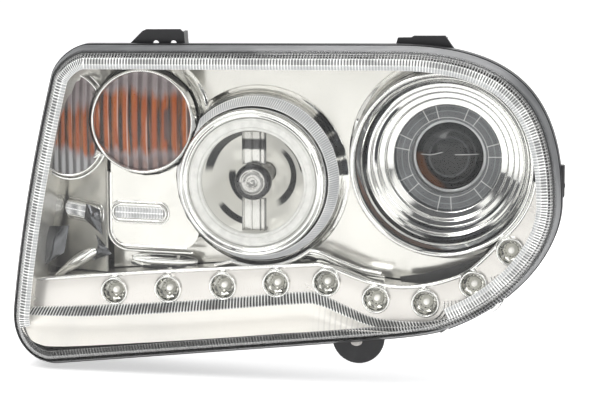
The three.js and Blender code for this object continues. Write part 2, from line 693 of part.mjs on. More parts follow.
function highBeamReflector() {
  const radii = [9.4, 15, 22, 30, 38, 44, 48.5];
  const inside = radii.map((r) => [r, bowlY(r)]);
  const outside = radii.slice(1).map((r) => [r + 2.2, bowlY(r) + 2.2]).reverse();
  const bowl = turned([
    ...inside, [52.4, bowlY(48.5) - 0.4], [52.4, bowlY(48.5) + 2.4], ...outside,
    [14, HIGH_HUB_Y], [9.4, HIGH_HUB_Y],
  ], HIGH_BEAM);
  return join(toSolid(bowl), ...aimParts(HIGH_BEAM, HIGH_PIVOT_Y, 33, 33), ...clipEars(HIGH_BEAM, HIGH_HUB_Y));
}

// The cap in front of the bulb, on a leg above and a leg below that stand on the bowl's edge.
function bulbShield() {
  const y = -3;
  const r = SHIELD_R;
  const cap = turned([
    [0, y], [r * 0.7, y + 0.6], [r, y + 3], [r, y + 12], [r - 1.6, y + 12], [r - 1.6, y + 4], [0, y + 2.4],
  ], HIGH_BEAM, ROUND_SMALL);
  const legs = [-1, 1].flatMap((side) => {
    const span = (from, to) => (side > 0 ? [from, to] : [-to, -from]);
    const [z0, z1] = span(r - 0.8, 44.4);
    const [foot0, foot1] = span(42, 44.4);
    return [
      toSolid(beside(HIGH_BEAM, -5, 5, 6, 8.4, z0, z1)),
      toSolid(beside(HIGH_BEAM, -5, 5, 6, 17, foot0, foot1)),
    ];
  });
  return join(toSolid(cap), ...legs);
}

// ---------------------------------------------------------------- projector
function projectorShroud() {
  const y = PROJECTOR_RIM_Y;
  const r = PROJECTOR_RIM_R;
  return turned([
    [r, y], [r - 4, y + 2], [r - 7, y + 12.5], [r - 11.5, y + 20], [r - 15, y + 22], [r - 15.4, y + 26.5],
    [r - 20, y + 28], [r - 20.6, y + 33], [r - 26, y + 34.5], [r - 26.5, y + 40], [r - 33, y + 42],
    [r - 33, y + 44.4], [r - 24.4, y + 42.5], [r - 23.5, y + 35.5], [r - 18.5, y + 35], [r - 18, y + 30],
    [r - 13.1, y + 29], [r - 12, y + 23.4], [r - 9.6, y + 22], [r - 4.9, y + 14], [r - 1.1, y + 5],
    [r - 0.1, y + 54], [FUNNEL_R, y + 54], [FUNNEL_R, y + 1.2],
  ], PROJECTOR);
}

const LENS_SEAT_Y = PROJECTOR_LENS_Y + 14;

function projectorHalo() {
  const y = PROJECTOR_LENS_Y;
  return turned([
    [33, y - 1.6], [50, y - 2.1], [50, y + 0.5], [35.2, y + 1.5], [35.2, y + 7.2], [33, y + 7.2],
  ], PROJECTOR);
}

function lensRetainer() {
  const y = PROJECTOR_LENS_Y;
  const r = PROJECTOR_LENS_R;
  return turned([
    [r - 1.4, y + 7.6], [r + 3.6, y + 7.6], [r + 3.6, LENS_SEAT_Y + 0.3], [r + 0.4, LENS_SEAT_Y + 0.3],
    [r + 0.4, y + 9.6], [r - 1.4, y + 9.2],
  ], PROJECTOR);
}

function projectorLens() {
  const r = PROJECTOR_LENS_R;
  const dome = 49;
  const sag = (radius) => PROJECTOR_LENS_Y + dome - Math.sqrt(dome * dome - radius * radius);
  const front = [0, 8, 15, 21, 26, 29.5, r].map((radius) => [radius, sag(radius)]);
  return turned([...front, [r, LENS_SEAT_Y], [0, LENS_SEAT_Y]], PROJECTOR);
}

function projectorHolder() {
  const y = LENS_SEAT_Y + 0.7;
  const barrel = turned([
    [28.5, y], [36, y], [36, 62], [42, 62], [42, 65], [34, 65], [34, y + 2.3], [28.5, y + 2.3],
  ], PROJECTOR);
  return join(toSolid(barrel), ...aimParts(PROJECTOR, PROJECTOR_PIVOT_Y, 35, 35));
}

// The plate across the barrel that makes the dipped beam's stepped edge.
function cutoffShield() {
  const r = 33.5;
  const shape = new THREE.Shape();
  shape.moveTo(-r, 0);
  shape.absarc(0, 0, r, Math.PI, 2 * Math.PI);
  shape.lineTo(4, 0);
  shape.lineTo(0, 2.4);
  shape.lineTo(-r + 0.4, 2.4);
  const points = shape.getPoints(14).map(({ x, y }) => [x + PROJECTOR.x, y + PROJECTOR.z]);
  return plate(points, 58, 59.6);
}

function projectorReflector() {
  const hub = PROJECTOR_HUB_Y;
  const bowl = turned([
    [36, 65.35], [35, 75], [31, 87], [24, 97], [14, 104.5], [9.4, 106.5], [9.4, hub], [14, hub],
    [14, 108], [26, 99.5], [33.5, 88.5], [37.6, 76], [38, 68], [42, 68], [42, 65.35],
  ], PROJECTOR);
  return join(toSolid(bowl), ...clipEars(PROJECTOR, hub));
}

// ---------------------------------------------------------------- brackets and fittings
const BRACKET_DEPTH = 16.6; // just behind the housing's rim
const BRACKET_WALL = 2.6;

function upperOuterBracket() {
  const leaf = sweptPlate(above(topEdge, [
    [-150, -8.2], [-149, -0.8], [-137.4, 10.3], [-134, 11.8], [-102, 11.9], [-98.5, 8.8], [-97, -8.2],
  ]), BRACKET_DEPTH, BRACKET_DEPTH + BRACKET_WALL);
  const fold = sweptPlate(above(topEdge, [
    [-99.4, -8], [-100.6, 9.5], [-98.2, 9.4], [-97, -8],
  ]), BRACKET_DEPTH, BRACKET_DEPTH + 16);
  const notch = (x) => toSolid(bar({ x, z: topEdge(x) - 1 }, 3, 0, 80, 12));
  return cut(join(leaf, fold), notch(-124.5), notch(-108));
}

function upperInnerBracket() {
  const leaf = sweptPlate(above(topEdge, [
    [94, -5.8], [97, 4.6], [109, 4.8], [111, 6.2], [139, 6.2], [147, -5.2], [147, -7.2],
  ]), BRACKET_DEPTH, BRACKET_DEPTH + 4);
  const rib = (x) => sweptPlate(above(topEdge, [
    [x, -5.4], [x, 4], [x + 2, 4], [x + 2, -5.4],
  ]), BRACKET_DEPTH + 3, BRACKET_DEPTH + 12);
  return join(leaf, rib(100), rib(119), rib(138));
}

// Where the lamp is fastened at the bottom: its front face's centre is the origin of the part.
const LOWER_TAB = { x: 62, z: bottomEdge(62) + 1.05, radius: 22, y: depthAt(62, BRACKET_DEPTH + 3), below: 8 };

function lowerBracket() {
  const { x, z, radius } = LOWER_TAB;
  const arc = Array.from({ length: 19 }, (_, i) => {
    const angle = Math.PI + (Math.PI * i) / 18;
    return [x + radius * Math.cos(angle), z + radius * Math.sin(angle)];
  });
  const { y } = LOWER_TAB;
  return toSolid(plate([...arc, [x + radius, z + 6], [x - radius, z + 3.4]], y, y + 4));
}

function ventCap() {
  const y = VENT_BOSS_Y;
  return turned([
    [0, y - 8], [4, y - 8], [4, y + GAP], [8.5, y + GAP], [8.5, y + 8], [6.5, y + 10], [0, y + 10],
  ], VENT, ROUND_SMALL);
}

// The lamp's own wiring inlet: a shell open to the back with a flange on the housing's boss.
function connectorSocket() {
  const y = CONNECTOR_BOSS_Y;
  const shell = join(
    toSolid(beside(CONNECTOR, -16, 16, y + GAP, y + 3, -12, 12)),
    toSolid(beside(CONNECTOR, -13, 13, y + 2, y + 20, -8.5, 8.5)),
    toSolid(bar(CONNECTOR, 11.4, y - 6, y + 1, ROUND_SMALL)),
  );
  return cut(shell, toSolid(beside(CONNECTOR, -11, 11, y + 6, y + 21, -6.5, 6.5)));
}

// ---------------------------------------------------------------- assembly
add('housing_shell', toGeometry(housing()), BLACK_PLASTIC);
add('outer_lens', toGeometry(lens()), CLEAR);
add('lens_seal', toGeometry(seal()), RUBBER);
add('chrome_bezel', toGeometry(bezel()), CHROME);
add('corner_bezel', toGeometry(cornerBezel()), CHROME);
add('led_strip_bezel', toGeometry(ledStrip()), CHROME);
add('led_board', ledBoard(), BOARD);
LED_PLACES.forEach((place, i) => {
  add(`led_cup_${i + 1}`, ledCup(place), CHROME);
  add(`led_${i + 1}`, led(place), CLEAR);
});

add('turn_reflector', turnReflector(), CHROME);
add('turn_lens', turnLens(), CLEAR);
add('turn_amber_filter', turnFilter(), AMBER);
add('turn_bulb', bulb(TURN, 54, TURN_BOSS_Y - 16, 8.5), CLEAR);
add('turn_bulb_socket', toGeometry(bulbSocket(TURN, TURN_BOSS_Y, SOCKET_BORE_R, 15.6)), GREY_PLASTIC);
add('marker_reflector', toGeometry(markerReflector()), CHROME);
add('marker_lens', toGeometry(markerLens()), AMBER);
add('marker_bulb', bulb(MARKER_SOCKET, 72, MARKER_BOSS_Y - 16, 4.6), AMBER);
const markerBore = SOCKET_BORE_R - 3;
add('marker_bulb_socket', toGeometry(bulbSocket(MARKER_SOCKET, MARKER_BOSS_Y, markerBore, 15.6)), GREY_PLASTIC);
add('front_reflex', frontReflex(), CLEAR);
add('side_reflex', sideReflex(), CLEAR);

add('high_beam_shroud', toGeometry(highBeamShroud()), CHROME);
add('high_beam_halo', highBeamHalo(), CLEAR);
add('high_beam_reflector', toGeometry(highBeamReflector()), CHROME);
add('high_beam_bulb_shield', toGeometry(bulbShield()), CHROME);
add('high_beam_bulb', beamBulb(HIGH_BEAM, HIGH_HUB_Y), CLEAR);
add('high_beam_bulb_clip', toGeometry(bulbClip(HIGH_BEAM, HIGH_HUB_Y)), SATIN_METAL);
add('high_beam_service_cap', toGeometry(serviceCap(HIGH_BEAM, HIGH_BACK_Y)), BLACK_PLASTIC);
add('high_beam_aim_screw', aimScrew(HIGH_BEAM, HIGH_PIVOT_Y, HIGH_BACK_Y), GREY_PLASTIC);

add('projector_shroud', projectorShroud(), CHROME);
add('projector_halo', projectorHalo(), SMOKED);
add('projector_lens_retainer', lensRetainer(), SATIN_METAL);
add('projector_lens', projectorLens(), CLEAR);
add('projector_holder', toGeometry(projectorHolder()), SATIN_METAL);
add('projector_cutoff_shield', cutoffShield(), BLACK_STEEL);
add('projector_reflector', toGeometry(projectorReflector()), CHROME);
add('low_beam_bulb', beamBulb(PROJECTOR, PROJECTOR_HUB_Y), CLEAR);
add('low_beam_bulb_clip', toGeometry(bulbClip(PROJECTOR, PROJECTOR_HUB_Y)), SATIN_METAL);
add('low_beam_service_cap', toGeometry(serviceCap(PROJECTOR, PROJECTOR_BACK_Y)), BLACK_PLASTIC);
add('low_beam_aim_screw', aimScrew(PROJECTOR, PROJECTOR_PIVOT_Y, PROJECTOR_BACK_Y), GREY_PLASTIC);

add('upper_outer_bracket', toGeometry(upperOuterBracket()), BLACK_STEEL);
add('upper_inner_bracket', toGeometry(upperInnerBracket()), BLACK_PLASTIC);
add('lower_bracket', toGeometry(lowerBracket()), BLACK_PLASTIC);
add('vent_cap', ventCap(), RUBBER);
add('wiring_socket', toGeometry(connectorSocket()), BLACK_PLASTIC);

lamp.position.set(-LOWER_TAB.x, -LOWER_TAB.y, LOWER_TAB.below - LOWER_TAB.z);
export default lamp;
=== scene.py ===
"""Car headlight assembly: the looks of a right-hand lamp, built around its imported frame.

Shapes are worked out in the lamp's own millimetres: x along the lamp towards the car's middle, y towards its
back, z up, with the origin at the middle of the lens. Pieces that lie along the lens lean back with it, so
they are drawn as (x, z) and a depth, and y is the depth less 0.12 of x.
"""
from __future__ import annotations

import logging
import math
from collections.abc import Callable, Sequence
from dataclasses import dataclass, field
from enum import Enum

import bmesh
import bpy
import numpy as np
from mathutils import Matrix, Vector
from numpy.typing import NDArray


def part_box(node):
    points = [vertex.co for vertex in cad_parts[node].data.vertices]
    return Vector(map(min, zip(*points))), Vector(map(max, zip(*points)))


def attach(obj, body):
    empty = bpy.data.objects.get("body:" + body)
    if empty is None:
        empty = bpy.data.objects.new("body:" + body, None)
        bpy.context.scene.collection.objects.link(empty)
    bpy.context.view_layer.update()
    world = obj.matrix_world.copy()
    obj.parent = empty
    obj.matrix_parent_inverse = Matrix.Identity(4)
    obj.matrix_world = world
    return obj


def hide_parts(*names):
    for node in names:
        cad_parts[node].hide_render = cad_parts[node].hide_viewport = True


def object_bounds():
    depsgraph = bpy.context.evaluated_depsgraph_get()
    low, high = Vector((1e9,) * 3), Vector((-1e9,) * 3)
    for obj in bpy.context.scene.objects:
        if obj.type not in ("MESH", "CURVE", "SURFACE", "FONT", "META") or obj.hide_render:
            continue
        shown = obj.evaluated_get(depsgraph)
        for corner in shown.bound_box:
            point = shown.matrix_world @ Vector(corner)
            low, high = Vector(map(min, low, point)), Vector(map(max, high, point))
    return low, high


Array = NDArray[np.float64]
LOG = logging.getLogger("lamp")
SWEEP = 0.12
LENS_AXIS = np.array([140.0, 42.5])  # the projector's axis, from the middle of the lens
LENS_FRONT = 25.0  # depth of the projector lens's foremost point

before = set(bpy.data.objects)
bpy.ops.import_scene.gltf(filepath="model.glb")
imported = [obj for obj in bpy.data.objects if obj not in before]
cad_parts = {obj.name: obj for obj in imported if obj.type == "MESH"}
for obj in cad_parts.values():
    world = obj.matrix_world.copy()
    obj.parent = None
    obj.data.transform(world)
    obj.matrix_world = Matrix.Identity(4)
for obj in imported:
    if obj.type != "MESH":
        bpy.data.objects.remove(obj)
CAD_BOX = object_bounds()


def lamp_origin() -> Array:
    """Finds the middle of the lens in the row frame, measured back from the projector's glass.

    Returns:
        The origin of the lamp's own millimetres, in metres.
    """
    low, high = (np.array(corner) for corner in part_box("projector_lens"))
    middle = (low + high) / 2
    return np.array([middle[0] - LENS_AXIS[0] / 1000, low[1] - LENS_FRONT / 1000,
                     middle[2] - LENS_AXIS[1] / 1000])


ORIGIN = lamp_origin()


def node_axis(name: str) -> Array:
    """Gives the (x, z) middle of a CAD node in the lamp's millimetres."""
    low, high = (np.array(corner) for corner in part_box(name))
    return (((low + high) / 2 - ORIGIN) * 1000)[[0, 2]]


def node_depths(name: str) -> tuple[float, float]:
    """Gives the front and back y of a CAD node in the lamp's millimetres."""
    low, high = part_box(name)
    return (low[1] - ORIGIN[1]) * 1000, (high[1] - ORIGIN[1]) * 1000


# ------------------------------------------------------------------ curves and fences
def bezier(points: Sequence[tuple[float, float]], steps: int) -> Array:
    """Samples a Bezier curve: the sum of each point times its Bernstein weight.

    Args:
        points: Two to four control points.
        steps: How many samples, the last end left out.

    Returns:
        The samples, one row each.
    """
    t = np.linspace(0, 1, steps, endpoint=False)
    degree = len(points) - 1
    weights = [math.comb(degree, k) * t**k * (1 - t) ** (degree - k) for k in range(degree + 1)]
    return np.stack(weights, 1) @ np.array(points, float)


def around(count: int) -> Array:
    """Gives angles in even steps round a circle, in radians."""
    return np.linspace(0, 2 * math.pi, count, endpoint=False)


def evenly(points: Array, count: int, closed: bool = False) -> Array:
    """Respaces a path: each coordinate is interpolated over the length walked so far.

    Args:
        points: The path's points, one row each.
        count: How many points come back.
        closed: True if the path returns to its start.

    Returns:
        Points at equal distances along the path.
    """
    path = np.vstack([points, points[:1]]) if closed else points
    walked = np.concatenate([[0], np.cumsum(np.linalg.norm(np.diff(path, axis=0), axis=1))])
    at = np.linspace(0, walked[-1], count, endpoint=not closed)
    return np.stack([np.interp(at, walked, path[:, k]) for k in range(path.shape[1])], 1)


def spline(points: Sequence[Sequence[float]], count: int) -> Array:
    """Draws a smooth path through points: Catmull-Rom cubics between neighbours, respaced evenly.

    Args:
        points: The points to pass through.
        count: How many points come back.

    Returns:
        The path, one row each.
    """
    p = np.array(points, float)
    p = np.vstack([2 * p[0] - p[1], p, 2 * p[-1] - p[-2]])
    t = np.linspace(0, 1, 16, endpoint=False)[:, None]
    pieces = [
        0.5 * (2 * b + (c - a) * t + (2 * a - 5 * b + 4 * c - d) * t**2 + (3 * b - a - 3 * c + d) * t**3)
        for a, b, c, d in zip(p, p[1:], p[2:], p[3:])
    ]
    return evenly(np.vstack([*pieces, p[-2:-1]]), count)


LENGTH, HEIGHT = 505.0, 304.0
OUTLINE_SHARES = (
    ((-0.74, 0.9), (0.38, 0.95)),
    ((0.38, 0.95), (0.79, 0.97), (0.965, 0.71), (0.967, 0.08)),
    ((0.967, 0.08), (0.968, -0.19), (0.82, -0.53), (0.55, -0.7)),
    ((0.55, -0.7), (0.46, -0.745), (0.33, -0.77), (0.04, -0.835)),
    ((0.04, -0.835), (-0.87, -1.035)),
    ((-0.87, -1.035), (-0.94, -1.045), (-1.035, -0.94), (-1.033, -0.725)),
    ((-1.033, -0.725), (-0.992, -0.05), (-0.873, 0.72)),
    ((-0.873, 0.72), (-0.855, 0.8), (-0.8, 0.885), (-0.74, 0.9)),
)


def lens_outline(count: int = 560) -> Array:
    """Draws the lens's outline clockwise from the left end of its top edge.

    Args:
        count: How many points it has.

    Returns:
        (x, z) points at equal distances.
    """
    shares = np.vstack([bezier(part, 60) for part in OUTLINE_SHARES])
    return evenly(shares * [LENGTH / 2, HEIGHT / 2], count, closed=True)


OUTLINE = lens_outline()


def inward(path: Array) -> Array:
    """Gives the unit normal on the right-hand side of each point: the way along it, turned a quarter.

    Args:
        path: A closed path's (x, z) points.

    Returns:
        One normal for each point.
    """
    along = np.roll(path, -1, 0) - np.roll(path, 1, 0)
    along /= np.linalg.norm(along, axis=1, keepdims=True)
    return np.stack([along[:, 1], -along[:, 0]], 1)


def inset(distance: float, path: Array | None = None) -> Array:
    """Moves an outline inwards along its normals; points that land too close to it are drawn in between.

    Args:
        distance: How far it moves, in millimetres.
        path: The outline, or the lens's own.

    Returns:
        As many points as the outline has.
    """
    base = OUTLINE if path is None else path
    moved = base + inward(base) * distance
    if distance > 0:
        near = np.linalg.norm(moved[:, None] - base[None], axis=2).min(1)
        kept = near > distance - 0.15
        order = np.arange(len(base))
        for axis in (0, 1):
            moved[~kept, axis] = np.interp(order[~kept], order[kept], moved[kept, axis], period=len(base))
    return moved


def leaning(xz: Array, depth: Array | float) -> Array:
    """Places flat (x, z) points at a depth behind the leaning lens plane: y is depth less 0.12 of x."""
    depth = np.broadcast_to(depth, xz.shape[:-1])
    return np.stack([xz[..., 0], depth - SWEEP * xz[..., 0], xz[..., 1]], -1)


def hold_inside(points: Array, fence: Array) -> Array:
    """Brings points that lie outside a closed fence to the fence's nearest point, in x and z.

    Args:
        points: (x, y, z) points of any array shape.
        fence: The fence, clockwise (x, z).

    Returns:
        The points, with none outside.
    """
    flat = points.reshape(-1, 3).copy()
    gaps = flat[:, None, [0, 2]] - fence[None]
    nearest = np.argmin((gaps**2).sum(2), 1)
    chosen = gaps[np.arange(len(flat)), nearest]
    outside = (chosen * inward(fence)[nearest]).sum(1) < 0
    flat[np.ix_(outside, [0, 2])] = fence[nearest[outside]]
    return flat.reshape(points.shape)


def end_inside(points: Array, distance: float) -> Array:
    """Keeps the outer half's points (x below 0) inside the outline by a distance and leaves the rest."""
    return np.where(points[..., :1] < 0, hold_inside(points, inset(distance)), points)


def hold_outside(points: Array, centre: Array, radius: float) -> Array:
    """Pushes points that lie inside a circle about an axis along y out to its edge.

    Args:
        points: (x, y, z) points of any array shape.
        centre: The circle's (x, z) centre.
        radius: Its radius.

    Returns:
        The points, with none inside.
    """
    away = points[..., [0, 2]] - centre
    reach = np.maximum(np.linalg.norm(away, axis=-1, keepdims=True), 1e-6)
    scale = np.maximum(1, radius / reach)
    moved = points.copy()
    moved[..., [0, 2]] = centre + away * scale
    return moved


# ------------------------------------------------------------------ skins
def rounded(profile: Sequence[Sequence[float]], radius: float = 0.8, steps: int = 4,
            closed: bool = True) -> Array:
    """Rounds a profile's corners: each corner becomes a quadratic curve that starts and ends `radius` away.

    Args:
        profile: The profile's corners.
        radius: How far from a corner its curve starts, at most 0.4 of an edge.
        steps: Points on each curve.
        closed: True if the last corner joins the first.

    Returns:
        The rounded profile's points.
    """
    p = np.array(profile, float)
    before, after = np.roll(p, 1, 0) - p, np.roll(p, -1, 0) - p
    long_before = np.linalg.norm(before, axis=1, keepdims=True)
    long_after = np.linalg.norm(after, axis=1, keepdims=True)
    start = p + before / long_before * np.minimum(radius, 0.4 * long_before)
    end = p + after / long_after * np.minimum(radius, 0.4 * long_after)
    if not closed:
        start[0] = end[0] = p[0]
        start[-1] = end[-1] = p[-1]
    t = np.linspace(0, 1, steps)[None, :, None]
    curves = (1 - t) ** 2 * start[:, None] + 2 * t * (1 - t) * p[:, None] + t**2 * end[:, None]
    return curves.reshape(-1, 2)


@dataclass
class Skin:
    """A mesh in the making: whole arrays of points, four-cornered faces and corner coordinates."""

    points: list[Array] = field(default_factory=list)
    faces: list[NDArray[np.int64]] = field(default_factory=list)
    corners: list[Array] = field(default_factory=list)
    count: int = 0

    def grid(self, points: Array, rows_join: bool = False, columns_join: bool = False,
             u: float = 1.0, v: Array | None = None) -> "Skin":
        """Adds a grid of points as faces between neighbouring rows and columns.

        Args:
            points: Shape (rows, columns, 3), in the lamp's millimetres.
            rows_join: True if the last row joins the first.
            columns_join: True if the last column joins the first.
            u: The first coordinate's value at the last column.
            v: The second coordinate at each row, with one more value if the rows join.

        Returns:
            The skin itself.
        """
        rows, columns = points.shape[:2]
        r, c = np.meshgrid(np.arange(rows - (not rows_join)), np.arange(columns - (not columns_join)),
                           indexing="ij")
        corner_r = np.stack([r, r, r + 1, r + 1], -1).reshape(-1, 4)
        corner_c = np.stack([c, c + 1, c + 1, c], -1).reshape(-1, 4)
        self.faces.append(self.count + (corner_r % rows) * columns + corner_c % columns)
        values = np.linspace(0, 1, rows + rows_join) if v is None else v
        self.corners.append(np.stack([corner_c * u / (columns - (not columns_join)), values[corner_r]], -1))
        self.points.append(points.reshape(-1, 3))
        self.count += rows * columns
        return self

    def slab(self, front: Array, back: Array, joined: bool = False, u: float = 1.0) -> "Skin":
        """Adds a closed wall between two grids of equal size: front rows, back rows in reverse, and the ends.

        Args:
            front: The front surface, shape (rows, columns, 3).
            back: The back surface, the same shape.
            joined: True if the last column joins the first.
            u: The first coordinate's value at the last column.

        Returns:
            The skin itself.
        """
        rows = len(front)
        up = np.linspace(0, 1, rows)
        self.grid(np.concatenate([front, back[::-1]]), True, joined, u, np.concatenate([up, up[::-1], [0]]))
        if not joined:
            for end in (0, -1):
                self.grid(np.stack([front[:, end], back[:, end]]))
        return self

    def sheet(self, front: Array, thick: float) -> "Skin":
        """Adds a closed sheet: the front surface, and the same surface this far behind it."""
        return self.slab(front, front + [0, thick, 0])

    def lathe(self, profile: Array, centre: Array, segments: int = 128, closed: bool = True,
              lobes: int = 0, depth: float = 0.0) -> "Skin":
        """Adds a turned shape: each profile point (r, y) goes round as (r cos a, y, r sin a).

        Args:
            profile: Points (r, y); it closes on itself, or starts and ends on the axis.
            centre: The axis's (x, z).
            segments: Steps round the axis.
            closed: True if the profile closes on itself.
            lobes: How many grip lobes go round; the radius shrinks by depth times a raised cosine.
            depth: How deep the lobes are, for radii above 2.

        Returns:
            The skin itself.
        """
        angle = around(segments)
        radius = np.repeat(profile[:, :1], segments, 1)
        if lobes:
            radius = radius - depth * (0.5 - 0.5 * np.cos(lobes * angle)) * (radius > 2)
        ring = np.stack([centre[0] + radius * np.cos(angle), np.repeat(profile[:, 1:], segments, 1),
                         centre[1] + radius * np.sin(angle)], -1)
        return self.grid(ring, closed, True)

    def tube(self, path: Array, radius: float | Array, sides: int = 12, closed: bool = False) -> "Skin":
        """Adds a round bar along a path: at each point, cos times one normal plus sin times the other.

        Args:
            path: Points (x, y, z).
            radius: One radius, or one for each point.
            sides: Sides of its section.
            closed: True if the path joins its start.

        Returns:
            The skin itself.
        """
        along = np.roll(path, -1, 0) - np.roll(path, 1, 0) if closed else np.gradient(path, axis=0)
        along /= np.linalg.norm(along, axis=1, keepdims=True)
        steady = np.array([0.0, 1.0, 0.0]) if abs(along[:, 1]).mean() < 0.7 else np.array([1.0, 0.0, 0.0])
        first = np.cross(along, steady)
        first /= np.linalg.norm(first, axis=1, keepdims=True)
        second = np.cross(along, first)
        reach = np.broadcast_to(radius, len(path)).astype(float)
        if not closed:
            path = np.vstack([path[:1], path, path[-1:]])
            first, second = (np.vstack([n[:1], n, n[-1:]]) for n in (first, second))
            reach = np.concatenate([[0], reach, [0]])
        angle = around(sides)[None, :, None]
        ring = path[:, None] + reach[:, None, None] * (np.cos(angle) * first[:, None]
                                                            + np.sin(angle) * second[:, None])
        return self.grid(ring, closed, True)

    def stack(self, rings: Sequence[Array]) -> "Skin":
        """Adds a skin through rings of equal counts, closed by a point at the middle of each end ring.

        Args:
            rings: Rings of (x, y, z) points.

        Returns:
            The skin itself.
        """
        first, last = (np.broadcast_to(rings[end].mean(0), rings[end].shape) for end in (0, -1))
        return self.grid(np.stack([first, *rings, last]), False, True)

    def block(self, low: Sequence[float], high: Sequence[float], radius: float = 1.0,
              lean: bool = False) -> "Skin":
        """Adds a block with round edges: the sign of each sphere normal times the inner half size, plus the
        normal times the radius.

        Args:
            low: Its lowest corner.
            high: Its highest corner.
            radius: The edge's radius.
            lean: True if it is drawn flat, with y as a depth.

        Returns:
            The skin itself.
        """
        low_corner, high_corner = np.array(low, float), np.array(high, float)
        middle, half = (low_corner + high_corner) / 2, (high_corner - low_corner) / 2
        up = np.concatenate([np.linspace(-90, -1, 5), np.linspace(1, 90, 5)]) * math.pi / 180
        turn = np.concatenate([k * 90 + np.linspace(1, 89, 5) for k in range(4)]) * math.pi / 180
        normal = np.stack([np.cos(up)[:, None] * np.cos(turn), np.cos(up)[:, None] * np.sin(turn),
                           np.repeat(np.sin(up)[:, None], len(turn), 1)], -1)
        signs = np.sign(np.stack([np.cos(turn) * np.ones((len(up), 1)), np.sin(turn) * np.ones((len(up), 1)),
                                  np.sign(up)[:, None] * np.ones(len(turn))], -1))
        edge = min(radius, half.min() * 0.95)
        points = middle + signs * (half - edge) + normal * edge
        if lean:
            points[..., 1] -= SWEEP * points[..., 0]
        ends = points[[0, -1]]
        ends[..., :2] = ends[..., :2].mean(1, keepdims=True)
        return self.grid(np.concatenate([ends[:1], points, ends[1:]]), False, True)

    def moved(self, change: Callable[[Array], Array]) -> "Skin":
        """Passes every point gathered so far through a function of an (n, 3) array."""
        self.points = [change(points) for points in self.points]
        return self


@dataclass(frozen=True)
class Fitting:
    """How one piece joins the lamp."""

    body: str
    slot: str
    replaces: tuple[str, ...] = ()
    crease: float = 35.0


def make_piece(name: str, skin: Skin, finish: "Finish", fitting: Fitting) -> bpy.types.Object:
    """Puts a skin into a mesh object, welds it, turns its faces outwards and hands it to the frame.

    Args:
        name: The piece's name.
        skin: Its arrays, in the lamp's millimetres.
        finish: What it is made of.
        fitting: Its body, the CAD nodes it stands for and its crease angle.

    Returns:
        The new object, at the origin.
    """
    points = np.concatenate(skin.points) / 1000 + ORIGIN
    faces = np.concatenate(skin.faces)
    corners = np.concatenate(skin.corners)
    mesh = bpy.data.meshes.new(name)
    mesh.vertices.add(len(points))
    mesh.vertices.foreach_set("co", points.ravel())
    mesh.loops.add(faces.size)
    mesh.loops.foreach_set("vertex_index", faces.ravel())
    mesh.polygons.add(len(faces))
    mesh.polygons.foreach_set("loop_start", np.arange(0, faces.size, 4))
    mesh.update(calc_edges=True)
    mesh.uv_layers.new(name="surface").data.foreach_set("uv", corners.ravel())
    work = bmesh.new()
    work.from_mesh(mesh)
    bmesh.ops.remove_doubles(work, verts=work.verts, dist=2e-6)
    bmesh.ops.recalc_face_normals(work, faces=work.faces)
    work.to_mesh(mesh)
    work.free()
    mesh.shade_smooth()
    mesh.set_sharp_from_angle(angle=math.radians(fitting.crease))
    mesh.materials.append(finish.material())
    piece = bpy.data.objects.new(name, mesh)
    bpy.context.scene.collection.objects.link(piece)
    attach(piece, fitting.body)
    if fitting.replaces:
        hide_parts(*fitting.replaces)
    LOG.info("%s: %d faces on %s", name, len(mesh.polygons), fitting.body)
    return piece


# ------------------------------------------------------------------ shader maths
class Value:
    """A number socket that takes part in Python sums; each operator adds one Math node."""

    def __init__(self, paint: "Paint", socket: bpy.types.NodeSocket) -> None:
        """Keeps the socket and the tree it belongs to."""
        self.paint, self.socket = paint, socket

    def _math(self, operation: str, left: "Value | float", right: "Value | float" = 0.0) -> "Value":
        """Adds a Math node with this operation on two values."""
        return self.paint.add("ShaderNodeMath", {"operation": operation}, {0: left, 1: right})[0]

    def __add__(self, other: "Value | float") -> "Value":
        """Sum."""
        return self._math("ADD", self, other)

    __radd__ = __add__

    def __sub__(self, other: "Value | float") -> "Value":
        """Difference."""
        return self._math("SUBTRACT", self, other)

    def __rsub__(self, other: float) -> "Value":
        """Difference the other way round."""
        return self._math("SUBTRACT", other, self)

    def __mul__(self, other: "Value | float") -> "Value":
        """Product."""
        return self._math("MULTIPLY", self, other)

    __rmul__ = __mul__

    def __truediv__(self, other: "Value | float") -> "Value":
        """Quotient."""
        return self._math("DIVIDE", self, other)

    def size(self) -> "Value":
        """Its absolute value."""
        return self._math("ABSOLUTE", self)

    def sine(self) -> "Value":
        """Its sine."""
        return self._math("SINE", self)

    def part(self) -> "Value":
        """Its fractional part."""
        return self._math("FRACT", self)

    def root(self) -> "Value":
        """Its square root."""
        return self._math("SQRT", self)

    def angle(self, other: "Value") -> "Value":
        """The angle whose tangent is this over the other."""
        return self._math("ARCTAN2", self, other)

    def ramp(self, low: float, high: float, start: float = 0.0, end: float = 1.0) -> "Value":
        """Rises smoothly from start to end as this value goes from low to high."""
        return self.paint.add("ShaderNodeMapRange", {"interpolation_type": "SMOOTHSTEP"},
                              {"Value": self, "From Min": low, "From Max": high, "To Min": start,
                               "To Max": end})[0]


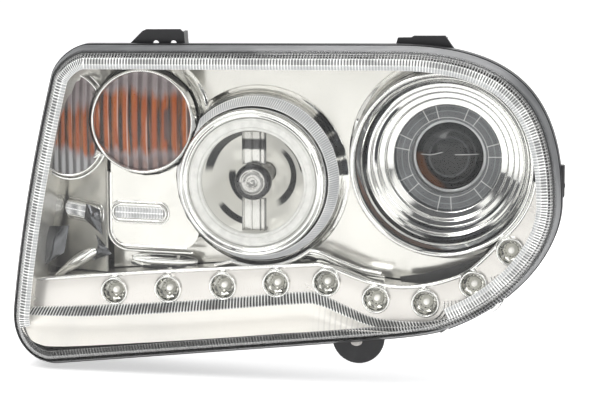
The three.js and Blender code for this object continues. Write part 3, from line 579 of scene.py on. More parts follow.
class Paint:
    """A material's node tree, with one method that adds any node."""

    def __init__(self, tree: bpy.types.NodeTree) -> None:
        """Keeps the node tree."""
        self.tree = tree

    def add(self, kind: str, settings: dict[str, object] | None = None,
            sockets: dict[str | int, object] | None = None) -> list[Value]:
        """Adds a node.

        Args:
            kind: The node's type.
            settings: Its settings, set first.
            sockets: The values or links of its inputs, by name or number.

        Returns:
            Its outputs, each wrapped as a Value.
        """
        node = self.tree.nodes.new(kind)
        for key, value in (settings or {}).items():
            setattr(node, key, value)
        for key, value in (sockets or {}).items():
            if isinstance(value, Value):
                self.tree.links.new(value.socket, node.inputs[key])
            else:
                node.inputs[key].default_value = value
        return [Value(self, socket) for socket in node.outputs]

    def place(self, centre: Sequence[float] = (0, 0, 0)) -> tuple[Value, Value, Value]:
        """Object coordinates in millimetres from a point given in the lamp's millimetres.

        Args:
            centre: The point (x, y, z).

        Returns:
            The three coordinates.
        """
        spot = self.add("ShaderNodeTexCoord")[3]
        axes = self.add("ShaderNodeSeparateXYZ", None, {0: spot})
        return tuple((axis - float(o)) * 1000.0 - float(c) for axis, o, c in zip(axes, ORIGIN, centre))

    def surface_uv(self) -> tuple[Value, Value]:
        """The piece's own two surface coordinates."""
        axes = self.add("ShaderNodeSeparateXYZ", None,
                        {0: self.add("ShaderNodeUVMap", {"uv_map": "surface"})[0]})
        return axes[0], axes[1]

    def noise(self, scale: float, detail: float = 3.0, stretch: Sequence[float] = (1, 1, 1)) -> Value:
        """Noise on Object coordinates.

        Args:
            scale: Cells to a metre.
            detail: Layers of finer noise.
            stretch: How much faster it varies along each axis.

        Returns:
            A value about 0.5.
        """
        spot = self.add("ShaderNodeTexCoord")[3]
        drawn = self.add("ShaderNodeMapping", None, {"Vector": spot, "Scale": tuple(stretch)})[0]
        return self.add("ShaderNodeTexNoise", None, {"Vector": drawn, "Scale": scale, "Detail": detail})[0]

    def blend(self, factor: Value | float, first: object, second: object) -> Value:
        """Mixes two colours."""
        return self.add("ShaderNodeMix", {"data_type": "RGBA"}, {0: factor, 6: first, 7: second})[2]

    def bump(self, height: Value, strength: float, distance: float) -> Value:
        """A normal from a height, with the height's full scale in metres."""
        return self.add("ShaderNodeBump", None,
                        {"Height": height, "Strength": strength, "Distance": distance})[0]

    def close(self, shader: Value) -> None:
        """Joins a shader to the material's output."""
        self.add("ShaderNodeOutputMaterial", None, {"Surface": shader})


def grey(level: float, warm: float = 0.0) -> tuple[float, float, float, float]:
    """A grey of this level, a little warmer or cooler."""
    return level * (1 + warm), level, level * (1 - 1.6 * warm), 1.0


@dataclass(frozen=True)
class Finish:
    """A finish that makes its own material the first time it is used."""

    name: str

    def material(self) -> bpy.types.Material:
        """Gets this finish's material, making it if needed.

        Returns:
            The material.
        """
        made = bpy.data.materials.get(f"finish_{self.name}")
        if made is None:
            made = bpy.data.materials.new(f"finish_{self.name}")
            made.use_nodes = True
            made.node_tree.nodes.clear()
            paint = Paint(made.node_tree)
            paint.close(self.shade(paint))
        return made

    def shade(self, paint: Paint) -> Value:
        """Builds the surface shader."""
        raise NotImplementedError


@dataclass(frozen=True)
class Metal(Finish):
    """Bright or satin metal: faint waviness, and a film that dulls it in patches."""

    colour: tuple[float, float, float, float] = (0.9, 0.9, 0.885, 1.0)
    roughness: float = 0.05
    waviness: float = 0.012
    film: float = 0.04
    metallic: float = 1.0

    def shade(self, paint: Paint) -> Value:
        """Builds the surface shader.

        Args:
            paint: The material's node tree.

        Returns:
            The shader's output.
        """
        patches = paint.noise(24.0, 4.0)
        wave = paint.noise(55.0, 1.0)
        dull = tuple(c * (1 - self.film) for c in self.colour[:3]) + (1.0,)
        return paint.add("ShaderNodeBsdfPrincipled", None, {
            "Base Color": paint.blend(patches.ramp(0.35, 0.7), self.colour, dull),
            "Metallic": self.metallic,
            "Roughness": patches.ramp(0.3, 0.75, self.roughness, self.roughness * 1.8),
            "Normal": paint.bump(wave, self.waviness, 0.0006),
        })[0]


@dataclass(frozen=True)
class PaintedReflectionMetal(Finish):
    """Bright metal round an axis with painted reflections: each dark band is (reach, half width, middle angle,
    half angle).
    """

    centre: tuple[float, float, float] = (0, 0, 0)
    reflection_bands: tuple[tuple[float, float, float, float], ...] = ()
    colour: tuple[float, float, float, float] = (0.9, 0.9, 0.885, 1.0)
    roughness: float = 0.06
    metallic: float = 1.0
    glow: float = 0.0

    def shade(self, paint: Paint) -> Value:
        """Builds the surface shader.

        Args:
            paint: The material's node tree.

        Returns:
            The shader's output.
        """
        x, _, z = paint.place(self.centre)
        reach = (x * x + z * z).root()
        dark = x * 0.0
        # Each dark band is a painted reflection, fixed in place on the metal.
        for middle, half, angle, spread in self.reflection_bands:
            c, s = math.cos(math.radians(angle)), math.sin(math.radians(angle))
            facing = (x * c + z * s) / reach
            ends = facing.ramp(math.cos(math.radians(spread * 1.1)), math.cos(math.radians(spread * 0.5)))
            dark = dark + (reach - middle).size().ramp(half * 0.45, half * 1.15, 1, 0) * ends
        reflection_paint = paint.blend(dark.ramp(0.12, 0.8), self.colour, (0.035, 0.037, 0.042, 1.0))
        # The glow, where set, is painted light: the metal is no lamp.
        return paint.add("ShaderNodeBsdfPrincipled", None, {
            "Base Color": reflection_paint, "Metallic": self.metallic, "Roughness": self.roughness,
            "Emission Color": reflection_paint,
            "Emission Strength": self.glow})[0]


@dataclass(frozen=True)
class ShieldPaintedReflections(Finish):
    """Bright coating of the bulb's shield with painted reflections: a dark edge round its cap, dark lines on
    its legs and a dark band across the upper leg; the cap is also darker, with faint turned rings.
    """

    centre: tuple[float, float, float] = (0, 0, 0)
    cap_r: float = 16.2

    def shade(self, paint: Paint) -> Value:
        """Builds the surface shader.

        Args:
            paint: The material's node tree.

        Returns:
            The shader's output.
        """
        x, _, z = paint.place(self.centre)
        reach = (x * x + z * z).root()
        on_cap = reach.ramp(self.cap_r, self.cap_r + 0.4, 1, 0)
        # Painted reflections: the dark edge round the cap, the dark lines on the legs and the dark band across
        # the upper leg.
        edge = reach.ramp(10.6, 12.2) * on_cap
        rings = (reach * 0.9 + z.angle(x) * 0.5).sine().ramp(0.1, 0.9) * on_cap
        leg_edge_reflections = x.size().ramp(9.2, 9.9) + (x - 5.9).size().ramp(0.4, 0.9, 1, 0)
        far = z.ramp(27.0, 29.5) * z.ramp(36.5, 39.0, 1, 0)
        dark = edge * 0.6 + rings * 0.3 + on_cap * 0.3 + (1 - on_cap) * (leg_edge_reflections * 0.6 + far * 0.85)
        return paint.add("ShaderNodeBsdfPrincipled", None, {
            "Base Color": paint.blend(dark.ramp(0.0, 1.0), (0.66, 0.655, 0.63, 1.0),
                                      (0.05, 0.05, 0.053, 1.0)),
            "Metallic": 0.75, "Roughness": 0.16})[0]


@dataclass(frozen=True)
class Plastic(Finish):
    """Moulded plastic or coated steel: fine grain, slow mottling and dust on the grain's tops."""

    colour: tuple[float, float, float, float] = (0.012, 0.012, 0.014, 1.0)
    roughness: float = 0.42
    grain: float = 0.25
    dust: float = 0.05

    def shade(self, paint: Paint) -> Value:
        """Builds the surface shader.

        Args:
            paint: The material's node tree.

        Returns:
            The shader's output.
        """
        grain = paint.noise(1800.0, 2.0)
        mottle = paint.noise(30.0, 4.0)
        pale = tuple(min(1.0, c + self.dust) for c in self.colour[:3]) + (1.0,)
        return paint.add("ShaderNodeBsdfPrincipled", None, {
            "Base Color": paint.blend(mottle.ramp(0.45, 0.85) * grain, self.colour, pale),
            "Roughness": mottle.ramp(0.3, 0.7, self.roughness - 0.06, self.roughness + 0.1),
            "Normal": paint.bump(grain, self.grain, 0.0002),
        })[0]


@dataclass(frozen=True)
class ClearShell(Finish):
    """Thin clear plastic: see-through face on, a mirror at a glance, and frosted grey where it is a skirt,
    with painted shade that darkens the skirt towards the bottom.

    The second surface coordinate runs from 0 on the skirt to 1 on the clear face.
    """

    skirt: float = 0.75
    tone: float = 0.13
    clear_from: float = 0.24

    def shade(self, paint: Paint) -> Value:
        """Builds the surface shader.

        Args:
            paint: The material's node tree.

        Returns:
            The shader's output.
        """
        edge = paint.add("ShaderNodeFresnel", None, {"IOR": 1.45})[0]
        see = paint.add("ShaderNodeBsdfTransparent", None, {"Color": (0.985, 0.985, 0.98, 1)})[0]
        gloss = paint.add("ShaderNodeBsdfGlossy", None, {"Color": (1, 1, 1, 1), "Roughness": 0.02})[0]
        _, v = paint.surface_uv()
        face = paint.add("ShaderNodeMixShader", None,
                         {0: edge * v.ramp(0.3, 0.6, 0.3, 0.42), 1: see, 2: gloss})[0]
        _, _, z = paint.place()
        # Painted shade: towards the bottom the skirt turns near black and more solid.
        upper = z.ramp(-125.0, -60.0)
        cloud = paint.noise(40.0, 3.0, (1, 3, 1)).ramp(0.3, 0.7)
        smoky = paint.add("ShaderNodeBsdfPrincipled", None, {
            "Base Color": paint.blend(upper, grey(0.035, -0.03), paint.blend(cloud, grey(self.tone, -0.03),
                                                                            grey(self.tone * 1.5, -0.02))),
            "Roughness": 0.3, "Coat Weight": 0.1})[0]
        solid = (1 - v.ramp(self.clear_from - 0.08, self.clear_from)) * upper.ramp(0.0, 1.0, 1.0, self.skirt)
        return paint.add("ShaderNodeMixShader", None, {0: solid, 1: face, 2: smoky})[0]


@dataclass(frozen=True)
class Prism(Finish):
    """Moulded prism teeth with painted light: each tooth's flanks are painted as a lit side and a shaded side,
    with painted glints in patches and along each row's edges, optional painted shade towards the bottom, and a
    painted glow.
    """

    dark: float = 0.05
    light: float = 0.7
    metallic: float = 0.5
    share: float = 0.5
    warm: float = 0.02
    rows: int = 1
    glow: float = 0.0
    bottom_shade_share: float = 1.0

    def shade(self, paint: Paint) -> Value:
        """Builds the surface shader.

        Args:
            paint: The material's node tree.

        Returns:
            The shader's output.
        """
        u, across = paint.surface_uv()
        v = (across * float(self.rows) * 0.999).part()
        lit_flank = (u.part() - 0.5).size().ramp(self.share * 0.5 - 0.12, self.share * 0.5 + 0.1)
        glint_patch = paint.noise(38.0, 2.0, (1, 1, 1.6)).ramp(0.36, 0.64)
        rim = (v - 0.5).size().ramp(0.36, 0.47)
        _, _, z = paint.place()
        # Painted light: the lit flank, glints in patches and along the row edges, and shade towards the
        # bottom.
        bright = (lit_flank * (0.45 + 0.55 * glint_patch) + rim * 0.4) * z.ramp(-116.0, -92.0, self.bottom_shade_share, 1.0)
        colour = paint.blend(bright, grey(self.dark, -0.02), grey(self.light, self.warm))
        # The glow is painted light: the teeth are no lamp.
        return paint.add("ShaderNodeBsdfPrincipled", None, {
            "Base Color": colour, "Metallic": self.metallic, "Roughness": 0.2, "Emission Color": colour,
            "Emission Strength": self.glow})[0]


@dataclass(frozen=True)
class Ledge(Finish):
    """Pale bright-coated ledge with fine upright ribs over part of its length, and a faint warm glow that is
    painted light.
    """

    level: float = 0.86
    warm: float = 0.035
    ribs_from: float = 20.0
    ribs_to: float = 132.0
    roughness: float = 0.22

    def shade(self, paint: Paint) -> Value:
        """Builds the surface shader.

        Args:
            paint: The material's node tree.

        Returns:
            The shader's output.
        """
        x, _, z = paint.place()
        ribbed = x.ramp(self.ribs_from, self.ribs_from + 25) * x.ramp(self.ribs_to, self.ribs_to + 20, 1, 0)
        rib = (x * 1.25).sine().ramp(0.2, 0.95) * ribbed
        cloud = paint.noise(14.0, 3.0).ramp(0.3, 0.75)
        base = paint.blend(cloud, grey(self.level, self.warm), grey(self.level * 0.9, self.warm * 0.6))
        # The warm emission is painted light: the ledge is no lamp.
        return paint.add("ShaderNodeBsdfPrincipled", None, {
            "Base Color": paint.blend(rib * 0.35, base, grey(0.5, 0.02)), "Metallic": 0.05,
            "Roughness": self.roughness, "Emission Color": (1.0, 0.985, 0.9, 1.0), "Emission Strength": 0.1,
            "Normal": paint.bump(rib, 0.3, 0.0005)})[0]


@dataclass(frozen=True)
class AmberFlutes(Finish):
    """Fluted clear lens over an amber bulb cover: amber in a band across the middle, mauve grey around it,
    painted shade in the flutes and painted highlights.
    """

    centre: tuple[float, float, float] = (0, 0, 0)
    low: float = -24.0
    high: float = 21.0
    pitch: float = 9.0
    slant: float = 0.0

    def shade(self, paint: Paint) -> Value:
        """Builds the surface shader.

        Args:
            paint: The material's node tree.

        Returns:
            The shader's output.
        """
        x, _, z = paint.place(self.centre)
        shake = paint.noise(70.0, 2.0, (1.6, 1, 0.25)).ramp(0.25, 0.75, -5, 5)
        lower = z + shake + x * self.slant
        band = lower.ramp(self.low - 6, self.low + 4) * (z + shake).ramp(self.high - 6, self.high + 8, 1, 0)
        flute = (x / self.pitch + 20.5 + paint.noise(9.0, 1.0) * 0.5).part()
        # Painted light: the dark stripes along the flutes are painted shade, and the pale lines and streaks
        # are painted highlights.
        shade = (flute - 0.5).size().ramp(0.1, 0.42)
        glint_streak = paint.noise(160.0, 2.0, (2.2, 1, 0.12)).ramp(0.45, 0.66)
        lit = (flute - 0.2).size().ramp(0.03, 0.1, 1, 0) * glint_streak
        warm = paint.blend(shade, (0.02, 0.007, 0.004, 1), (0.36, 0.068, 0.001, 1))
        warm = paint.blend(glint_streak * 0.4, warm, (0.52, 0.14, 0.004, 1))
        ovals = (((x - 17) * 0.3).sine().ramp(0.55, 0.9) * x.ramp(4.0, 9.0)
                 * (z + 3).size().ramp(11.0, 17.0, 1, 0))
        warm = paint.blend(ovals * 0.8, warm, (0.05, 0.04, 0.045, 1))
        cool = paint.blend(shade, (0.17, 0.14, 0.145, 1), (0.32, 0.275, 0.28, 1))
        under = lower.ramp(self.low - 12, self.low, 1, 0)
        earthy = paint.blend(shade, (0.07, 0.045, 0.045, 1), (0.27, 0.16, 0.14, 1))
        grey_flutes = paint.blend(shade, grey(0.1, -0.02), grey(0.42, -0.02))
        cool = paint.blend(under * 0.85, cool, earthy if self.slant == 0 else grey_flutes)
        body = paint.blend(band, cool, warm)
        return paint.add("ShaderNodeBsdfPrincipled", None, {
            "Base Color": paint.blend(lit * 0.4, body, grey(0.75, 0.0)), "Roughness": 0.22})[0]


@dataclass(frozen=True)
class TintedClear(Finish):
    """Clear or tinted moulding with some body: part see-through, part glossy colour, and a glow that is
    painted light where it is set.
    """

    colour: tuple[float, float, float, float] = (0.8, 0.8, 0.78, 1.0)
    solid: float = 0.35
    roughness: float = 0.08
    glow: float = 0.0

    def shade(self, paint: Paint) -> Value:
        """Builds the surface shader.

        Args:
            paint: The material's node tree.

        Returns:
            The shader's output.
        """
        swirl = paint.noise(120.0, 2.0).ramp(0.3, 0.7, 0.85, 1.0)
        see = paint.add("ShaderNodeBsdfTransparent", None, {"Color": (0.97, 0.97, 0.96, 1)})[0]
        body = paint.add("ShaderNodeBsdfPrincipled", None, {
            "Base Color": self.colour, "Roughness": self.roughness, "Coat Weight": 1.0,
            "Emission Color": self.colour, "Emission Strength": self.glow})[0]
        facing = paint.add("ShaderNodeFresnel", None, {"IOR": 1.5})[0]
        return paint.add("ShaderNodeMixShader", None,
                         {0: self.solid * swirl + facing * 0.6, 1: see, 2: body})[0]


@dataclass(frozen=True)
class SmokedRing(Finish):
    """Smoked ring: seven pairs of pale radial ticks, fine pale circles and darker edges."""

    centre: tuple[float, float, float] = (0, 0, 0)
    inner: float = 33.0
    outer: float = 50.0

    def shade(self, paint: Paint) -> Value:
        """Builds the surface shader.

        Args:
            paint: The material's node tree.

        Returns:
            The shader's output.
        """
        x, _, z = paint.place(self.centre)
        reach = (x * x + z * z).root()
        turn = z.angle(x) / (2 * math.pi) * 7.0 + 7.326
        off = ((turn.part() - 0.5).size() - 0.146).size() * reach * (2 * math.pi / 7.0)
        ticks = off.ramp(0.25, 0.6, 1, 0) * reach.ramp(self.inner + 1.6, self.inner + 2.4)
        ticks = ticks * reach.ramp(self.outer - 3.2, self.outer - 2.2, 1, 0)
        circle_a = (reach - self.inner - 2.4).size().ramp(0.12, 0.5, 1, 0)
        circle_b = (reach - self.inner - 8.2).size().ramp(0.1, 0.7, 1, 0)
        circle_c = (reach - self.outer + 4.4).size().ramp(0.1, 0.7, 1, 0)
        cloud = paint.noise(60.0, 2.0).ramp(0.3, 0.7)
        base = paint.blend(cloud, (0.07, 0.077, 0.083, 1), (0.115, 0.125, 0.135, 1))
        base = paint.blend(reach.ramp(self.outer - 2, self.outer) * 0.6, base, (0.07, 0.08, 0.09, 1))
        base = paint.blend(circle_b * 0.35 + circle_c * 0.3, base, grey(0.42, -0.05))
        return paint.add("ShaderNodeBsdfPrincipled", None, {
            "Base Color": paint.blend(ticks * 0.8 + circle_a * 0.7, base, grey(0.66)), "Roughness": 0.2,
            "Coat Weight": 0.4})[0]


@dataclass(frozen=True)
class DarkGlass(Finish):
    """Thick projector glass: dark, with painted light: lighter towards the top, two pale arcs, and the dipped
    beam's stepped edge and an amber tint as seen through it.
    """

    centre: tuple[float, float, float] = (0, 0, 0)

    def shade(self, paint: Paint) -> Value:
        """Builds the surface shader.

        Args:
            paint: The material's node tree.

        Returns:
            The shader's output.
        """
        x, _, z = paint.place(self.centre)
        reach = (x * x + z * z).root()
        step = z - 3.6 - x.ramp(-18.0, -3.0, -2.4, 0.6) + x.ramp(-1.0, 3.0, 0.0, 2.0)
        line = step.size().ramp(0.2, 0.6, 1, 0) * x.size().ramp(4.0, 7.0) * reach.ramp(24.0, 27.0, 1, 0)
        arc = (reach - 17.5).size().ramp(0.3, 1.6, 1, 0) + (reach - 23.5).size().ramp(0.3, 1.2, 1, 0) * 0.6
        tint = (x + z * 0.6).ramp(-27.0, -17.0, 1, 0) * z.ramp(0.0, 5.0, 1, 0) * reach.ramp(20.0, 25.0)
        upper = z.ramp(-8.0, 22.0)
        base = paint.blend(upper, (0.006, 0.007, 0.008, 1), (0.05, 0.053, 0.056, 1))
        base = paint.blend(arc * 0.5, base, grey(0.13, -0.04))
        base = paint.blend(tint * 0.75, base, (0.17, 0.062, 0.02, 1))
        return paint.add("ShaderNodeBsdfPrincipled", None, {
            "Base Color": paint.blend(line * 0.8, base, grey(0.62)), "Roughness": 0.03, "IOR": 1.4})[0]


@dataclass(frozen=True)
class PaleFloor(Finish):
    """A plain white studio floor, lit a little from within so that it keeps its tone far away."""

    glow: float = 0.5

    def shade(self, paint: Paint) -> Value:
        """Builds the surface shader.

        Args:
            paint: The material's node tree.

        Returns:
            The shader's output.
        """
        return paint.add("ShaderNodeBsdfPrincipled", None, {
            "Base Color": (0.93, 0.93, 0.93, 1.0), "Roughness": 0.9, "Emission Color": (1.0, 1.0, 1.0, 1.0),
            "Emission Strength": self.glow})[0]


# ------------------------------------------------------------------ the lamp's finishes and axes
CHROME = Metal("bright_coating")
CHROME_PALE = Metal("bright_coating_pale", (0.8, 0.79, 0.75, 1.0), 0.14, 0.012, 0.04, 0.7)
CHROME_WARM = Metal("bright_coating_warm", (0.78, 0.755, 0.725, 1.0), 0.16, 0.012, 0.06, 0.6)
# A darker copy of the bright coating: painted shade for the recessed LED bowls.
CHROME_CUT = Metal("bright_coating_cut", (0.6, 0.6, 0.565, 1.0), 0.05, 0.0, 0.3)
# A dark copy of the bright coating, for painted dark reflections on the corner.
CHROME_SHADED = Metal("bright_coating_shaded", (0.16, 0.165, 0.175, 1.0), 0.12, 0.05, 0.3)
SATIN = Metal("satin_casting", (0.55, 0.56, 0.57, 1.0), 0.34, 0.1, 0.15)
SPRING = Metal("spring_wire", (0.62, 0.61, 0.6, 1.0), 0.2, 0.05, 0.1)
BLACK = Plastic("black_moulding")
BLACK_STEEL = Plastic("black_steel", (0.006, 0.006, 0.008, 1.0), 0.3, 0.12, 0.04)
GREY = Plastic("grey_moulding", (0.2, 0.205, 0.21, 1.0), 0.45, 0.3, 0.08)
PALE_GREY = Plastic("pale_grey_moulding", (0.42, 0.4, 0.38, 1.0), 0.4, 0.2, 0.08)
RUBBER = Plastic("soft_rubber", (0.012, 0.012, 0.012, 1.0), 0.75, 0.4, 0.03)
BOARD = Plastic("circuit_board", (0.02, 0.09, 0.04, 1.0), 0.35, 0.5, 0.1)
BULB = TintedClear("bulb_glass", (0.85, 0.84, 0.8, 1.0), 0.3, 0.05)
BULB_AMBER = TintedClear("amber_bulb_glass", (0.7, 0.28, 0.05, 1.0), 0.6, 0.08)
AMBER = TintedClear("amber_cover", (0.6, 0.2, 0.03, 1.0), 0.8, 0.15)

PROJECTOR = node_axis("projector_lens")
HIGH = node_axis("high_beam_bulb")
TURN = node_axis("turn_lens")
MARKER_SOCKET = node_axis("marker_bulb_socket")
TUBE_R = 50.0
CORNER_TURN = math.radians(40)
PROJECTOR_ROOM, HIGH_ROOM, TURN_ROOM = 81.6, 75.0, TUBE_R + 0.5  # what the bezel keeps clear round each axis
ON_CHROME = Fitting("housing", "chrome")
ON_BLACK = Fitting("housing", "black_plastic")
ON_CLEAR = Fitting("housing", "clear_lens", (), 12)


class Side(Enum):
    """Which side of an axis a paired piece stands on."""

    LOW = -1
    HIGH = 1


def smooth_step(value: Array, low: float, high: float) -> Array:
    """Rises from 0 to 1 as value goes from low to high: three t squared less two t cubed."""
    t = np.clip((value - low) / (high - low), 0, 1)
    return t * t * (3 - 2 * t)


def ridged(near: Array, far: Array, rows: int, teeth: int, height: float,
           bulge: float) -> tuple[Array, Array]:
    """Works out a toothed strip between two edges: straight across, plus a tooth wave along it and a bulge.

    Args:
        near: One edge's (x, y, z) points, four to a tooth.
        far: The other edge's.
        rows: Rows across the strip.
        teeth: How many teeth; the wave is 0, 1, 0, -1 on each one's four points.
        height: The wave's height, in millimetres.
        bulge: How far the middle stands forward.

    Returns:
        The front surface and the back surface.
    """
    v = np.linspace(0, 1, rows)[:, None, None]
    flat = near[None] * (1 - v) + far[None] * v
    wave = np.tile([0.0, 1.0, 0.0, -1.0], teeth + 1)[: near.shape[0]][None, :, None]
    lift = (bulge + height * wave) * np.sin(math.pi * (0.08 + 0.84 * v))
    front = flat - lift * np.array([0.0, 1.0, 0.0])
    return front, flat + np.array([0.0, 1.6, 0.0])


@dataclass
class Border:
    """The clear lens with its grey skirt, its prism rows and the pale ledge along the bottom."""

    wall: float = 1.6
    teeth: int = 500
    face: float = -21.5
    rise: float = 2.6
    shares: tuple[float, ...] = (0.97, 0.92, 0.85, 0.75, 0.62, 0.48, 0.34, 0.2, 0.08, 0.0)
    rings: tuple[tuple[float, float, float], ...] = (
        (0.9, 9.0, 0.0), (0.8, 1.0, 0.05), (1.4, -1.2, 0.08), (2.6, -4.0, 0.12), (4.6, -13.5, 0.2),
        (6.4, -18.0, 0.3), (8.4, -20.0, 0.38), (11.0, -21.0, 0.47), (15.0, -21.5, 0.6))
    lip_top: tuple[tuple[float, float], ...] = (
        (-246, -81), (-150, -70), (8, -54.5), (35, -54), (78, -66.5), (116, -67.5), (156, -55.5), (180, -36),
        (196, -16), (209, 6), (219, 30))
    prism_top: tuple[tuple[float, float], ...] = (
        (-247, -106), (-180, -100.5), (-84, -90.5), (8.6, -78), (29.7, -78.6), (54.3, -88), (77.8, -96.5),
        (103.9, -98.5), (129.9, -97), (153, -90.3), (175, -79.3), (198, -60.4), (217, -32), (226, -8),
        (228, 18))
    ledge_top: tuple[tuple[float, float], ...] = (
        (-250, -112), (-179, -109.1), (-83.5, -99), (9, -87.3), (30, -87), (54.8, -95.4), (78.3, -103),
        (104, -105.6),
        (131, -103), (155, -96), (178, -85), (202, -65), (221.5, -35), (230.5, -8), (232, 18))
    ledge_foot: tuple[tuple[float, float], ...] = (
        (-250, -114), (-245, -127), (-232, -136), (-208, -137), (-128, -128.4), (-53, -119.3), (11, -111),
        (66, -106.2), (104, -105.9))

    def build(self) -> None:
        """Builds the lens and everything moulded into its edge."""
        self.lens()
        self.rows()
        self.ledge()

    def dome(self, base: Array, lift: float) -> list[Array]:
        """Shrinks a ring to the middle; its depth is the face's less the rise times (1 - share squared).

        Args:
            base: The ring's (x, z) points.
            lift: How far behind the outer face it lies.

        Returns:
            One ring for each share.
        """
        return [leaning(base * s, self.face - self.rise * (1 - s * s) + lift) for s in self.shares]

    def lens(self) -> None:
        """Builds the lens: rings along the skirt, then rings that shrink to the middle over a low dome."""
        outer_base, inner_base = inset(15.0), inset(15.0 + self.wall)
        front = [leaning(inset(d), depth) for d, depth, _ in self.rings] + self.dome(outer_base, 0.0)
        back = [leaning(inset(d + self.wall), depth + (self.wall if depth < 0 else 0)) for d, depth,
                _ in self.rings]
        back += self.dome(inner_base, self.wall)
        v = np.array([ring[2] for ring in self.rings] + [1.0] * len(self.shares))
        skin = Skin()
        skin.grid(np.stack(front), False, True, v=v).grid(np.stack(back), False, True, v=v)
        skin.grid(np.stack([front[0], back[0]]), False, True, v=np.zeros(2))
        make_piece("outer_lens", skin, ClearShell("clear_lens_shell"),
                   Fitting("housing", "clear_lens", ("outer_lens",), 50))

    def rows(self) -> None:
        """Builds the prism rows round the edge; the outermost is wider along the bottom."""
        path = lens_outline(self.teeth * 4)
        foot = smooth_step(-path[:, 1], 88, 104) * smooth_step(-path[:, 0], -150, -70)
        foot = foot[:, None]
        narrow, wide = inset(10.6, path), inset(15.4, path)
        near = leaning(inset(6.9, path), -11.5)
        far = leaning(narrow * (1 - foot) + wide * foot, -16.6)
        front, back = ridged(near, far, 5, self.teeth, 0.5, 0.8)
        skin = Skin().slab(front, back, True, self.teeth)
        # The outer row's bottom share of 0.22 paints shade along the lamp's bottom.
        make_piece("prism_row_outer", skin,
                   Prism("prism_dark", dark=0.012, light=0.85, metallic=0.2, share=0.75, warm=0.0, glow=0.1,
                         bottom_shade_share=0.22),
                   ON_CLEAR)
        order = np.argmin(np.linalg.norm(path - [-250, -122], axis=1))
        end = np.argmin(np.linalg.norm(path - [150, -95], axis=1))
        count = (end - order) % len(path)
        for name, start, stop, depths, finish, height in (
            ("prism_row_middle", 10.9, 16.4, (-16.8, -18.6),
             Prism("prism_white", dark=0.12, light=1.0, metallic=0.0, share=0.6, warm=0.0, glow=0.45), 0.45),
            ("prism_row_inner", 16.7, 20.6, (-18.4, -17.2),
             Prism("prism_pale", dark=0.42, light=0.9, metallic=0.0, share=0.7, warm=0.0, glow=0.3), 0.25),
        ):
            near, far = (leaning(np.roll(inset(d, path), -order, 0)[: count + 1], depth)
                         for d, depth in zip((start, stop), depths))
            front, back = ridged(near, far, 5, count // 4 + 1, height, 0.6)
            make_piece(name, Skin().slab(front, back, False, count / 4), finish,
                       ON_CLEAR)

    def ledge(self) -> None:
        """Builds the bottom's prism row under the LEDs and the pale ledge below it: both run straight from
        their upper edge to their lower edge."""
        teeth = 190
        near = leaning(spline(self.prism_top, teeth * 4 + 1), 0.8)
        far = leaning(spline(self.ledge_top, teeth * 4 + 1), -7.5)
        near, far = end_inside(near, 14.0), end_inside(far, 14.0)
        front, back = ridged(near, far, 7, teeth, 0.5, 0.9)
        make_piece("led_prism_row", Skin().slab(front, back, False, teeth),
                   Prism("prism_mixed", dark=0.04, light=0.95, metallic=0.2, share=0.6, warm=0.0, glow=0.2),
                   ON_CLEAR)
        top = spline(self.ledge_top[:8], 260)
        foot = spline(self.ledge_foot, 260)
        v = np.linspace(0, 1, 12)[:, None]
        flat = top[None] * (1 - v[..., None]) + foot[None] * v[..., None]
        depth = -7.6 - 8.6 * v - 2.2 * np.sin(math.pi * v)
        front = end_inside(leaning(flat, np.broadcast_to(depth, flat.shape[:2])), 9.6)
        make_piece("bottom_ledge", Skin().sheet(front, 1.6), Ledge("pale_ledge"),
                   ON_CHROME)


